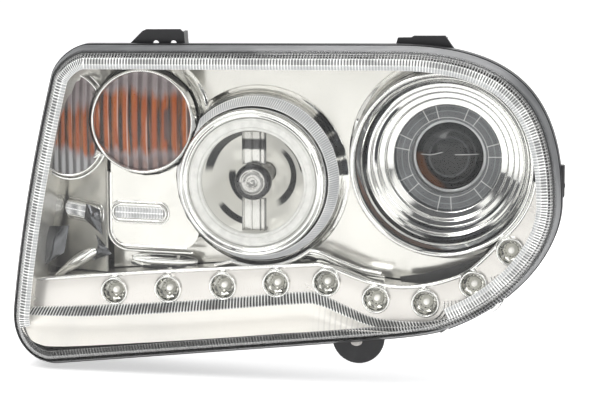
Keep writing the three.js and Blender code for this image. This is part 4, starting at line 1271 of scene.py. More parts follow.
@dataclass
class Bezels:
    """The bright bezels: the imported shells, with the beads, collars and forms moulded into them."""

    panel: tuple[float, float, float] = (-168.0, -46.5, 16.0)
    panel_depth: float = 14.0

    def build(self) -> None:
        """Dresses the shells and builds what stands on them."""
        for name in ("chrome_bezel", "corner_bezel"):
            dress(name, CHROME_PALE)
        self.collars()
        self.panel_beads()
        self.corner_wall()
        self.corner_forms()
        self.strip_lip()

    def collars(self) -> None:
        """Builds the flared collars where each lamp unit comes through: rings of growing radius on the
        leaning bezel."""
        fence = inset(21.0)
        # The last column lists each collar's painted reflections: dark arcs as (reach, half width, middle
        # angle, half angle).
        for name, centre, radius, reach, reflection_bands in (
            ("projector_collar", PROJECTOR, PROJECTOR_ROOM, 8.0,
             ((86.0, 3.0, 173.0, 4.0), (86.5, 3.0, -130.0, 5.0), (84.5, 2.0, -60.0, 14.0))),
            ("high_beam_collar", HIGH, HIGH_ROOM, 7.0,
             ((78.6, 3.4, 40.0, 9.0), (78.6, 3.6, 23.0, 9.0), (78.6, 3.2, 8.0, 6.0))),
            ("turn_collar", TURN, TURN_ROOM, 6.5, ((53.0, 2.6, -152.0, 9.0), (53.4, 2.4, -6.0, 6.0))),
        ):
            profile = rounded([[0.0, 20.0], [0.9, 31.5], [0.45 * reach, 35.6], [reach, 37.4], [reach, 38.6],
                               [0.0, 38.6]], 2.4, 6)
            angle = around(160)
            flat = centre + (radius + profile[:, :1, None]) * np.stack([np.cos(angle), np.sin(angle)], -1)
            points = hold_inside(leaning(flat, profile[:, 1:]), fence)
            for other, room in ((PROJECTOR, PROJECTOR_ROOM), (HIGH, HIGH_ROOM), (TURN, TURN_ROOM)):
                if other is not centre:
                    points = hold_outside(points, other, room)
            reflection_paint = PaintedReflectionMetal(f"{name}_coating", (centre[0], 0.0, centre[1]), reflection_bands)
            make_piece(name, Skin().grid(points, True, True), reflection_paint, ON_CHROME)

    def panel_beads(self) -> None:
        """Builds the two beads that run down and round the side panel's lower corner: a line, a quarter
        circle and a line."""
        x0, z0, radius = self.panel
        for name, out, depth, bar in (("panel_bead", 0.0, self.panel_depth, 1.3),
                                      ("fold_bead", 4.6, 19.0, 1.5)):
            turn = np.linspace(math.pi, 1.5 * math.pi, 24)
            reach = radius + out
            arc = np.array([x0 + radius, z0 + radius]) + reach * np.stack([np.cos(turn), np.sin(turn)], 1)
            flat = evenly(np.vstack([[x0 - out, 20.0], arc, [-96.0 + out, z0 - out]]), 90)
            path = hold_outside(leaning(flat, depth), HIGH, 77.0)
            make_piece(name, Skin().tube(path, bar), CHROME, ON_CHROME)
        u, v = np.meshgrid(np.linspace(0, 1, 60), np.linspace(0, 1, 16))
        flat = np.stack([-152 + 62 * u, -54.5 - 12.5 * v - 5 * (2 * u - 1) ** 4 * (0.5 - v)], -1)
        front = hold_outside(leaning(flat, 22 + 9 * np.sin(math.pi * v)), HIGH, 77.0)
        make_piece("trough", Skin().sheet(front, 1.4), CHROME, ON_CHROME)
        slot = Skin().block((-140, 19, -67.4), (-116, 23, -64.8), 0.9, True).block((-112, 19, -67.0),
                                                                                   (-98, 23, -64.4), 0.9,
                                                                                   True)
        make_piece("trough_clips", slot, BLACK, ON_BLACK)

    def corner_wall(self) -> None:
        """Builds the pale wall that slopes back from the border round the outer corner, wider at the top."""
        path = lens_outline(480)
        first = int(np.argmin(np.linalg.norm(path - [-246, -116], axis=1)))
        count = (int(np.argmin(np.linalg.norm(path - [-96, 137], axis=1))) - first) % len(path)
        wide = smooth_step(path[:, 1], 78, 104)[:, None]
        rows = []
        for near, far, depth in ((17.4, 17.4, -6.0), (19.0, 22.0, 1.0), (21.0, 30.0, 9.0), (23.0, 44.0, 16.0),
                                 (26.0, 46.0, 44.0)):
            ring = inset(near, path) * (1 - wide) + inset(far, path) * wide
            rows.append(leaning(np.roll(ring, -first, 0)[:count], depth))
        front = hold_outside(np.stack(rows), TURN, TUBE_R + 1.0)
        make_piece("corner_wall", Skin().sheet(front, 1.4), CHROME_PALE, ON_CHROME)

    def corner_forms(self) -> None:
        """Builds the finger-shaped form, and dark curved facets on the corner's sloping leaf that paint its
        dark reflections.
        """
        path = spline([(-224, 50, -79), (-212, 46, -71), (-200, 41, -62.5), (-189, 37, -55.5),
                       (-182, 36.5, -52.5)], 60)
        along = np.linspace(0, 1, 60)
        radius = 1.4 + 6.4 * np.sin(math.pi * np.clip(along * 0.86 + 0.06, 0,
                                                      1)) ** 0.8 * (0.35 + 0.65 * along)
        skin = Skin().tube(path, radius, 32)
        make_piece("corner_finger", skin, CHROME, ON_CHROME)
        groove = Skin().tube(path[12:-3] - [0.5, 6.5, -1.6],
                             1.1 + 2.0 * np.sin(math.pi * np.linspace(0, 1, 45)), 20)
        make_piece("corner_finger_crest", groove, CHROME, ON_CHROME)
        # The facets are dark sheets: painted dark reflections on the corner.
        facets = Skin()
        for corners in (((-235, -33), (-209, -31), (-214, -56), (-232, -68)),
                        ((-192, -10), (-179, -15), (-177, -38), (-194, -24)),
                        ((-183, -38), (-168, -55), (-187, -62), (-180, -48))):
            u, v = np.meshgrid(np.linspace(0, 1, 16), np.linspace(0, 1, 16))
            a, b, c, d = (np.array(corner, float) for corner in corners)
            flat = (a * ((1 - u) * (1 - v))[..., None] + b * (u * (1 - v))[..., None]
                    + c * (u * v)[..., None] + d * ((1 - u) * v)[..., None])
            front = leaning(flat, 14.0 - 5.0 * np.sin(math.pi * u) * np.sin(math.pi * v))
            facets.sheet(front, 1.2)
        make_piece("corner_shade_facets", facets, CHROME_SHADED, ON_CHROME)

    def strip_lip(self) -> None:
        """Builds the rounded lip along the LED strip's top edge and the bead above it."""
        fence = inset(17.5)
        edge = spline(Border().lip_top, 300)
        path = hold_inside(leaning(edge, 2.6), fence)
        path = hold_outside(path, PROJECTOR, 82.6)
        make_piece("strip_lip", Skin().tube(path, 1.9, 16), CHROME, ON_CHROME)
        swell = spline([(-70, -60), (-20, -47.5), (0, -44), (22, -42.5), (46, -50.5), (66, -57), (84, -59.5)],
                       200)
        bead = hold_outside(hold_outside(leaning(swell, 14.0), HIGH, 79), PROJECTOR, 85)
        make_piece("valley_bead", Skin().tube(bead, 1.8, 14), CHROME, ON_CHROME)
        v = np.linspace(0, 1, 14)[:, None, None]
        flat = swell[None] * (1 - v) + (evenly(swell, 200) + [2, -9.5])[None] * v
        front = leaning(flat, (14 + 12 * np.sin(math.pi * v))[..., 0])
        front = hold_outside(hold_outside(front, HIGH, 77), PROJECTOR, 83)
        # valley_shade is a black sheet that paints the shade in the gap under the projector's collar.
        gap = np.array([spline(((100, -62), (119.6, -58.5), (133, -54.6), (150.8, -49), (171, -40.7)), 80),
                        spline(((101, -66.5), (126, -67), (146, -62.5), (164, -53), (173.8, -44)), 80)])
        v = np.linspace(0, 1, 6)[:, None, None]
        shaded = leaning(gap[:1] * (1 - v) + gap[1:] * v, 17.0)
        make_piece("valley_shade", Skin().sheet(shaded, 1.2), BLACK, ON_BLACK)
        make_piece("valley_channel", Skin().sheet(front, 1.4), CHROME, ON_CHROME)


def dress(node: str, finish: Finish) -> None:
    """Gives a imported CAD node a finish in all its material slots.

    Args:
        node: The node's name.
        finish: Its finish.
    """
    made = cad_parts[node]
    made.data.materials.clear()
    made.data.materials.append(finish.material())
    LOG.info("%s: packed node, %s", node, finish.name)


@dataclass
class LedStrip:
    """Nine daytime LEDs: a bright cup with a cut-glass bowl, and a clear LED in each."""

    cups: int = 9
    rim_r: float = 12.6
    facets: int = 8

    def build(self) -> None:
        """Builds the cups and LEDs and dresses the circuit board."""
        dress("led_board", BOARD)
        self.strip()
        # The LED domes' glow is painted light.
        glow = TintedClear("led_epoxy", (1.0, 0.99, 0.96, 1.0), 0.9, 0.05, 0.3)
        for index in range(1, self.cups + 1):
            centre = node_axis(f"led_cup_{index}")
            y = node_depths(f"led_cup_{index}")[0] + 3.2
            self.cup(index, centre, y)
            dome = rounded([[0, y + 2.4], [2.0, y + 2.9], [2.9, y + 5.2], [2.9, y + 11.4], [3.3, y + 11.4],
                            [3.3, y + 12.4], [0, y + 12.4]], 1.2, 4, False)
            make_piece(f"led_dome_{index}", Skin().lathe(dome, centre, 32, False), glow,
                       Fitting("housing", "led_epoxy", (f"led_{index}",)))

    def strip(self) -> None:
        """Builds the strip: a straight face from its top edge to the prism row, with a bore for each cup, a
        wall behind its top edge, and curved ribs between the last cups."""
        border = Border()
        top, foot = spline(border.lip_top, 400), spline(border.prism_top, 400)
        v = np.linspace(0, 1, 12)[:, None, None]
        flat = top[None] * (1 - v) + foot[None] * v
        depth = (2.4 - 1.4 * v - 0.5 * np.sin(math.pi * v))[..., 0]
        front = end_inside(hold_outside(leaning(flat, depth), PROJECTOR, PROJECTOR_ROOM), 17.0)
        piece = make_piece("led_strip_face", Skin().sheet(front, 1.8), CHROME_WARM,
                           Fitting("housing", "chrome", ("led_strip_bezel",)))
        bores = Skin()
        for index in range(1, self.cups + 1):
            y = node_depths(f"led_cup_{index}")[0]
            profile = np.array([[0, y - 12], [self.rim_r + 0.3, y - 12], [self.rim_r + 0.3, y + 20],
                                [0, y + 20]])
            bores.lathe(profile, node_axis(f"led_cup_{index}"), 72, False)
        cut_with(piece, bores)
        wall = np.stack([leaning(top, depth) for depth in np.linspace(3.4, 34.0, 6)])
        wall = hold_outside(wall, PROJECTOR, 82.0)
        make_piece("led_strip_upright", Skin().slab(wall, wall - [0, 0, 1.6]), CHROME_PALE, ON_CHROME)
        ribs = Skin()
        for index, start, end in ((7, -62.0, 8.0), (8, -52.0, 26.0)):
            centre = node_axis(f"led_cup_{index}")
            turn = np.radians(np.linspace(start, end, 18))
            for reach in np.arange(16.5, 30.0, 3.2):
                ring = centre + reach * np.stack([np.cos(turn), np.sin(turn)], 1)
                ribs.tube(hold_outside(leaning(ring, 0.9), PROJECTOR, 84.0), 0.75, 8)
        make_piece("led_strip_ribs", ribs, CHROME, ON_CHROME)

    def cup(self, index: int, centre: Array, y: float) -> None:
        """Builds one cup: a turned rim and a bowl of flat facets, each ring turned half a facet on.

        Args:
            index: Its number from the outer end.
            centre: Its (x, z) axis.
            y: Where its place on the strip is.
        """
        r = self.rim_r
        rim = rounded([[r - 2.4, y - 2.2], [r - 1.4, y - 3.4], [r - 0.4, y - 3.2], [r, y - 2.0],
                       [r + 1.0, y + 1.8],
                       [r, y + 4], [r - 2.6, y + 4]], 0.5, 4)
        make_piece(f"led_rim_{index}", Skin().lathe(rim, centre, 96), CHROME, ON_CHROME)
        skin = Skin()
        rings = ((r - 2.2, 0.6, 0.0), (r - 3.2, 3.4, 0.5), (r - 5.0, 4.4, 0.0), (r - 6.6, 7.6, 0.5),
                 (r - 9.4, 8.8, 0.0))
        turn = np.arange(self.facets * 2)
        rows = []
        for radius, depth, shift in rings:
            angle = 2 * math.pi * (turn + shift) / (self.facets * 2)
            bite = 1 - 0.1 * ((turn + int(shift * 2)) % 2)
            sunk = 0.9 * ((turn + int(shift * 2)) % 2) * (radius < r - 2.5)
            rows.append(np.stack([centre[0] + radius * bite * np.cos(angle), y + depth + sunk,
                                  centre[1] + radius * bite * np.sin(angle)], -1))
        front = np.stack(rows)
        skin.slab(front, front + [0, 0.9, 0], True)
        make_piece(f"led_bowl_{index}", skin, CHROME_CUT,
                   Fitting("housing", "chrome", (f"led_cup_{index}",), 9))


@dataclass
class TurnSignal:
    """The turn signal and the side marker: fluted lenses, bright rims and amber covers."""

    radius: float = 44.0
    pitch: float = 9.0
    marker_centre: tuple[float, float] = (-205.0, 64.0)
    marker_r: float = 46.0
    squeeze: float = 0.76

    def fluted(self, radius: float, dome: float, front_y: float) -> tuple[Array, Array]:
        """Works out a fluted disc: a dome, less the flute wave, one minus |cos| of pi x over the pitch.

        Args:
            radius: The disc's radius.
            dome: How far its edge lies behind its middle.
            front_y: The middle's y.

        Returns:
            Front and back points round (0, 0), shape (rings, steps, 3).
        """
        reach = np.concatenate([[0.0], np.linspace(0.06, 1, 34)]) * radius
        angle = around(240)
        x = reach[:, None] * np.cos(angle)
        z = reach[:, None] * np.sin(angle)
        wave = (1 - np.abs(np.cos(math.pi * x / self.pitch))) * (1 - smooth_step(reach, radius - 2.5,
                                                                                 radius - 0.5))[:, None]
        y = front_y + dome * (reach[:, None] / radius) ** 2 + 1.1 * wave
        front = np.stack([x, y, z], -1)
        return front, front + [0, 2.6, 0] - np.stack([0 * x, 1.1 * wave, 0 * z], -1)

    def build(self) -> None:
        """Builds both lights."""
        r = self.radius
        front, back = self.fluted(r - 0.4, 4.2, 17.8)
        skin = Skin()
        skin.grid(front, False, True).grid(back, False, True).grid(np.stack([front[-1], back[-1]]), False,
                                                                   True)
        skin.moved(lambda p: p + [TURN[0], 0, TURN[1]])
        finish = AmberFlutes("turn_flutes", (TURN[0], 0.0, TURN[1]), -26.0, 24.0, self.pitch)
        make_piece("turn_lens_fluted", skin, finish, Fitting("housing", "clear_lens", ("turn_lens",), 60))
        rim = rounded([[r - 0.2, 20.5], [r + 0.2, 17.6], [r + 1.4, 16.4], [r + 2.8, 17.2], [r + 3.4, 20],
                       [r + 4.4, 26],
                       [TUBE_R, 60], [45, 68], [31, 80.5], [16, 89], [13.6, 89], [13.6, 86.6], [28, 78],
                       [41.5, 62],
                       [r - 0.2, 46]], 1.4, 4)
        make_piece("turn_housing_bright", Skin().lathe(rim, TURN, 160), CHROME,
                   Fitting("housing", "chrome", ("turn_reflector",)))
        dress("turn_amber_filter", AMBER)
        dress("turn_bulb", BULB)
        dress("marker_bulb", BULB_AMBER)
        dress("marker_reflector", CHROME)
        self.marker()

    def on_corner(self, points: Array) -> Array:
        """Lays points drawn round the y axis over the outer corner: x is squeezed, the depth grows towards the
        turn signal, and the border and the turn signal's rim bound them.

        Args:
            points: (x, y, z) points round (0, 0).

        Returns:
            The points in place.
        """
        flat = points[..., [0, 2]] * [self.squeeze, 1.0] + self.marker_centre
        depth = points[..., 1] - 4.0 + 0.16 * (flat[..., 0] + 238.0)
        return hold_inside(hold_outside(leaning(flat, depth), TURN, TUBE_R + 0.9), inset(17.6))

    def marker(self) -> None:
        """Builds the side marker's lens and the two bright arcs round it."""
        front, back = self.fluted(self.marker_r - 0.6, 3.4, -2.0)
        skin = Skin()
        skin.grid(front, False, True).grid(back, False, True).grid(np.stack([front[-1], back[-1]]), False,
                                                                   True)
        skin.moved(self.on_corner)
        centre = (self.marker_centre[0], 0.0, self.marker_centre[1])
        finish = AmberFlutes("marker_flutes", centre, -21.0, 14.0, 6.6, 0.4)
        make_piece("marker_lens_fluted", skin, finish,
                   Fitting("housing", "amber_plastic", ("marker_lens",), 60))
        for name, radius, y, bar in (("marker_rim", self.marker_r + 0.6, 0.6, 1.2),
                                     ("marker_rim_outer", self.marker_r + 4.4, 5.0, 1.5)):
            angle = around(200)
            section = around(14)[:, None]
            reach = radius + bar * np.cos(section)
            ring = np.stack([reach * np.cos(angle), y + bar * np.sin(section) + 0 * angle,
                             reach * np.sin(angle)], -1)
            make_piece(name, Skin().grid(self.on_corner(ring), True, True), CHROME, ON_CHROME)


@dataclass
class Reflexes:
    """The two oblong prism reflectors: a bright frame round two rows of fine prisms."""

    length: float = 50.0
    height: float = 14.0

    def build(self) -> None:
        """Builds the reflector on the panel and the one on the corner's slope."""
        front_centre = node_axis("front_reflex")
        self.oblong("front_reflex_prisms", self.length, "front_reflex",
                    lambda p: leaning((p[..., [0, 2]] + front_centre), p[..., 1] + 10.0))
        c, s = math.cos(CORNER_TURN), math.sin(CORNER_TURN)

        def on_slope(p: Array) -> Array:
            """Turns the oblong to lie on the sloping leaf."""
            x, y = p[..., 0] - 33.0, p[..., 1] - 4.4
            return np.stack([x * c + y * s - 172.5, -x * s + y * c + 36.0, p[..., 2] - 19.5], -1)

        self.oblong("side_reflex_prisms", 54.0, "side_reflex", on_slope)

    def oblong(self, name: str, length: float, node: str, placed: Callable[[Array], Array]) -> None:
        """Builds one oblong: two half-round rows with a saw wave along them, and a frame bead round them.

        Args:
            name: The pieces' name.
            length: Its length over the frame.
            node: The CAD node it stands for.
            placed: Moves drawn points to their place.
        """
        half, r = length / 2, self.height / 2
        u = np.linspace(-half + 2.4, half - 2.4, int(length * 4))
        v = np.linspace(-r + 1.8, r - 1.8, 33)
        x, z = np.meshgrid(u, v)
        room = np.sqrt(np.maximum((r - 1.6) ** 2 - z**2, 0.2)) + half - r
        x = np.clip(x, -room, room)
        row = np.abs(np.sin(math.pi * (z + r - 1.8) / (r - 1.8)))
        saw = np.abs(((u / 1.6) % 1) - 0.5)[None] * 1.2
        front = np.stack([x, 1.2 - 1.7 * np.sqrt(row) - saw * row, z], -1)
        back = np.stack([x, np.full_like(x, 3.2), z], -1)
        skin = Skin().slab(front, back, False, length / 1.6)
        skin.moved(placed)
        make_piece(name, skin, Prism(f"{name}_finish", dark=0.22, light=1.0, metallic=0.0, share=0.65,
                                     warm=0.0, rows=2, glow=0.6),
                   Fitting("housing", "clear_lens", (node,), 20))
        turn = around(120)
        flat = np.stack([np.clip(np.cos(turn) * 1.0001, -1, 1) * r, np.sin(turn) * r], 1)
        flat[:, 0] += np.where(np.cos(turn) > 0, 1, -1) * (half - r)
        flat = evenly(flat, 160, True)
        path = placed(np.stack([flat[:, 0], np.full(160, 1.6), flat[:, 1]], 1))
        outer = placed(np.stack([flat[:, 0] * 1.09, np.full(160, 3.4), flat[:, 1] * 1.34], 1))
        frame_skin = Skin().tube(path, 1.1, 12, True).tube(outer, 0.9, 12, True)
        make_piece(f"{name}_frame", frame_skin, CHROME, ON_CHROME)


@dataclass
class HighBeam:
    """The high-beam unit: a stepped shroud, a light-guide ring, the bowl and the bulb's shield."""

    rim_r: float = 65.4
    rim_y: float = -6.5
    bowl_depth: float = 68.0

    def build(self) -> None:
        """Builds the fixed shroud and ring, then the parts that tilt."""
        r, y = self.rim_r, self.rim_y
        shroud = rounded([[r - 7.9, y + 3.4], [r - 6.6, y + 1.0], [r - 4.6, y + 2.2], [r - 2.6, y - 0.2],
                          [r - 0.8, y],
                          [r, y + 2.4], [r + 0.6, y + 20], [r + 1.6, y + 33], [r + 5.0, y + 36.5],
                          [r + 5.4, y + 39.5],
                          [74.5, y + 43], [74.5, y + 58], [73.0, y + 58], [73.0, y + 44], [r - 1.4, y + 35],
                          [r - 2.4, y + 6], [r - 7.9, y + 5.4]], 1.1, 5)
        skin = Skin().lathe(shroud, HIGH, 176)
        skin.moved(lambda p: hold_outside(p, TURN, TUBE_R + 0.7))
        make_piece("high_beam_shroud_bright", skin, CHROME,
                   Fitting("housing", "chrome", ("high_beam_shroud",), 40))
        outer = r - 8.2
        guide = rounded([[45.8, y + 5.0], [46.6, y + 3.2], [48.6, y + 2.9], [49.2, y + 1.7],
                         [outer - 2.4, y + 1.4],
                         [outer - 1.4, y + 2.6], [outer, y + 3.4], [outer, y + 7], [outer - 5, y + 8.6],
                         [45.8, y + 8]], 0.5, 4)
        # The light guide's glow is painted light.
        make_piece("high_beam_guide_ring", Skin().lathe(guide, HIGH, 160),
                   TintedClear("light_guide", (0.78, 0.78, 0.755, 1.0), 0.92, 0.12, 0.12),
                   Fitting("housing", "light_guide", ("high_beam_halo",)))
        teeth = 220
        angle = around(teeth * 4)
        rim = np.stack([np.cos(angle), 0 * angle, np.sin(angle)], -1)
        centre = np.array([HIGH[0], 0.0, HIGH[1]])
        near, far = centre + rim * 67.0 + [0, y + 12, 0], centre + rim * 73.8 + [0, y + 32.0, 0]
        front, back = ridged(near, far, 7, teeth, 0.3, 0.3)
        skin = Skin().slab(front, back, True, teeth)
        skin.moved(lambda p: hold_outside(p, TURN, TUBE_R + 1.2))
        make_piece("high_beam_fine_prisms", skin,
                   Prism("prism_fine", dark=0.4, light=0.95, metallic=0.0, share=0.8, warm=0.0, glow=0.5),
                   ON_CLEAR)
        self.bowl()
        for name, finish in (("high_beam_reflector", CHROME), ("high_beam_bulb", BULB),
                             ("high_beam_bulb_clip", SPRING)):
            dress(name, finish)

    def bowl(self) -> None:
        """Builds the bowl's bright lining, y = depth less r squared over 40, and the shield on its legs."""
        reach = np.linspace(9.6, 48.3, 40)
        lining = np.stack([reach, self.bowl_depth - 2.2 - reach**2 / 40], 1)
        back = np.stack([reach[::-1], self.bowl_depth - 1.2 - reach[::-1] ** 2 / 40], 1)
        edge = np.array([[48.6, 7.4], [49.4, 7.2], [52.5, 7.2], [52.5, 8.2], [49.6, 8.6]])
        # The bowl's dark arcs are painted reflections, and its glow of 0.2 is painted light.
        reflection_bands = ((43.5, 3.6, 132.0, 44.0), (27.5, 3.2, 205.0, 36.0), (29.0, 4.2, -5.0, 62.0),
                 (40.0, 2.2, 30.0, 24.0),
                 (41.0, 2.4, -118.0, 30.0))
        reflection_paint = PaintedReflectionMetal("bowl_painted_reflections", (HIGH[0], 0.0, HIGH[1]), reflection_bands, (0.9, 0.895, 0.86, 1.0), 0.1, 0.5,
                           0.2)
        make_piece("high_beam_bowl_lining", Skin().lathe(np.vstack([lining, edge, back]), HIGH, 160), reflection_paint,
                   Fitting("high_beam_unit", "chrome"))
        cap = rounded([[0, -1.2], [4.2, -1.6], [4.8, -2.6], [9.6, -2.8], [10.2, -1.8], [12.4, -2.4],
                       [15.4, -1.4],
                       [16.2, 1.0], [16.2, 9.0], [14.6, 9.0], [14.4, 2.4], [0, 1.4]], 0.7, 4, False)
        skin = Skin().lathe(cap, HIGH, 96, False)
        x, z = HIGH
        for side in Side:
            low, high = sorted((side.value * 15.0, side.value * 44.2))
            skin.block((x - 11, 7.0, z + low), (x + 11, 9.0, z + high), 0.8)
            for rib in (-10.2, -2.6, 5.4, 9.2):
                skin.block((x + rib, 4.4, z + low), (x + rib + 1.1, 8.4, z + high), 0.4)
            low, high = sorted((side.value * 42.0, side.value * 44.4))
            skin.block((x - 11, 7.4, z + low), (x + 11, 17, z + high), 0.8)
        make_piece("high_beam_shield", skin, ShieldPaintedReflections("shield_painted_reflections", (HIGH[0], 0.0, HIGH[1])),
                   Fitting("high_beam_unit", "chrome", ("high_beam_bulb_shield",), 40))


@dataclass
class Projector:
    """The low-beam projector: a stepped funnel, a smoked ring, and the glass in its holder."""

    rim_r: float = 80.0
    rim_y: float = -24.5
    lens_y: float = LENS_FRONT
    lens_r: float = 31.0
    dome: float = 49.0

    def build(self) -> None:
        """Builds the funnel, the ring, the retainer and the glass, and dresses the parts behind."""
        r, y = self.rim_r, self.rim_y
        funnel = [[r, y], [r - 1.6, y - 0.6], [r - 3.6, y + 1.2], [r - 4.6, y + 3.4], [r - 7.2, y + 12],
                  [r - 8.6, y + 13.4],
                  [r - 11.2, y + 20], [r - 14.8, y + 20.8], [r - 15.4, y + 26.2], [r - 19.8, y + 27.2],
                  [r - 20.5, y + 32.6], [r - 25.7, y + 33.8], [r - 26.4, y + 39.6], [r - 32.6, y + 41.2],
                  [r - 33, y + 43.4], [r - 32.6, y + 44.4], [r - 24.4, y + 42.5], [r - 23.5, y + 35.8],
                  [r - 18.5, y + 35], [r - 18, y + 30], [r - 13.1, y + 29], [r - 12, y + 23.4],
                  [r - 9.6, y + 22],
                  [r - 4.9, y + 14], [r - 1.1, y + 5], [r - 0.1, y + 54], [81.2, y + 54], [81.2, y + 2.2]]
        # The funnel's dark arcs are painted reflections.
        reflection_bands = ((69.5, 2.4, 160.0, 30.0), (61.5, 1.6, 158.0, 30.0), (68.5, 2.6, -78.0, 30.0),
                 (60.6, 1.2, -75.0, 60.0),
                 (76.0, 1.2, -70.0, 40.0), (69.6, 1.2, 100.0, 40.0))
        reflection_paint = PaintedReflectionMetal("funnel_painted_reflections", (PROJECTOR[0], 0.0, PROJECTOR[1]), reflection_bands)
        make_piece("projector_funnel", Skin().lathe(rounded(funnel, 1.1, 5), PROJECTOR, 192), reflection_paint,
                   Fitting("housing", "chrome", ("projector_shroud",), 45))
        lens_y = self.lens_y
        ring = rounded([[33.2, lens_y - 1.6], [50, lens_y - 2.1], [50, lens_y + 0.5], [35.2, lens_y + 1.5],
                        [35.2, lens_y + 7.2], [33.2, lens_y + 7.2]], 0.4, 4)
        spot = (PROJECTOR[0], 0.0, PROJECTOR[1])
        make_piece("projector_smoked_ring", Skin().lathe(ring, PROJECTOR, 160),
                   SmokedRing("smoked_ring", spot),
                   Fitting("low_beam_unit", "smoked_ring", ("projector_halo",)))
        retainer = rounded([[self.lens_r - 1.2, lens_y + 7.4], [self.lens_r + 0.6, lens_y + 6.8],
                            [self.lens_r + 3.4, lens_y + 7.4], [self.lens_r + 3.6, lens_y + 14.3],
                            [self.lens_r + 0.4, lens_y + 14.3], [self.lens_r + 0.4, lens_y + 9.6],
                            [self.lens_r - 1.2, lens_y + 9.2]], 0.5, 4)
        make_piece("projector_retainer", Skin().lathe(retainer, PROJECTOR, 128), SATIN,
                   Fitting("low_beam_unit", "cast_metal", ("projector_lens_retainer",)))
        reach = np.linspace(0, self.lens_r, 34)
        face = np.stack([reach, lens_y + self.dome - np.sqrt(self.dome**2 - reach**2)], 1)
        profile = np.vstack([face, [[self.lens_r, lens_y + 13.9], [0, lens_y + 13.9]]])
        make_piece("projector_glass", Skin().lathe(profile, PROJECTOR, 128, False),
                   DarkGlass("projector_glass", spot),
                   Fitting("low_beam_unit", "projector_glass", ("projector_lens",)))
        for name, finish in (("projector_holder", SATIN), ("projector_cutoff_shield", BLACK_STEEL),
                             ("projector_reflector", CHROME), ("low_beam_bulb", BULB),
                             ("low_beam_bulb_clip", SPRING)):
            dress(name, finish)


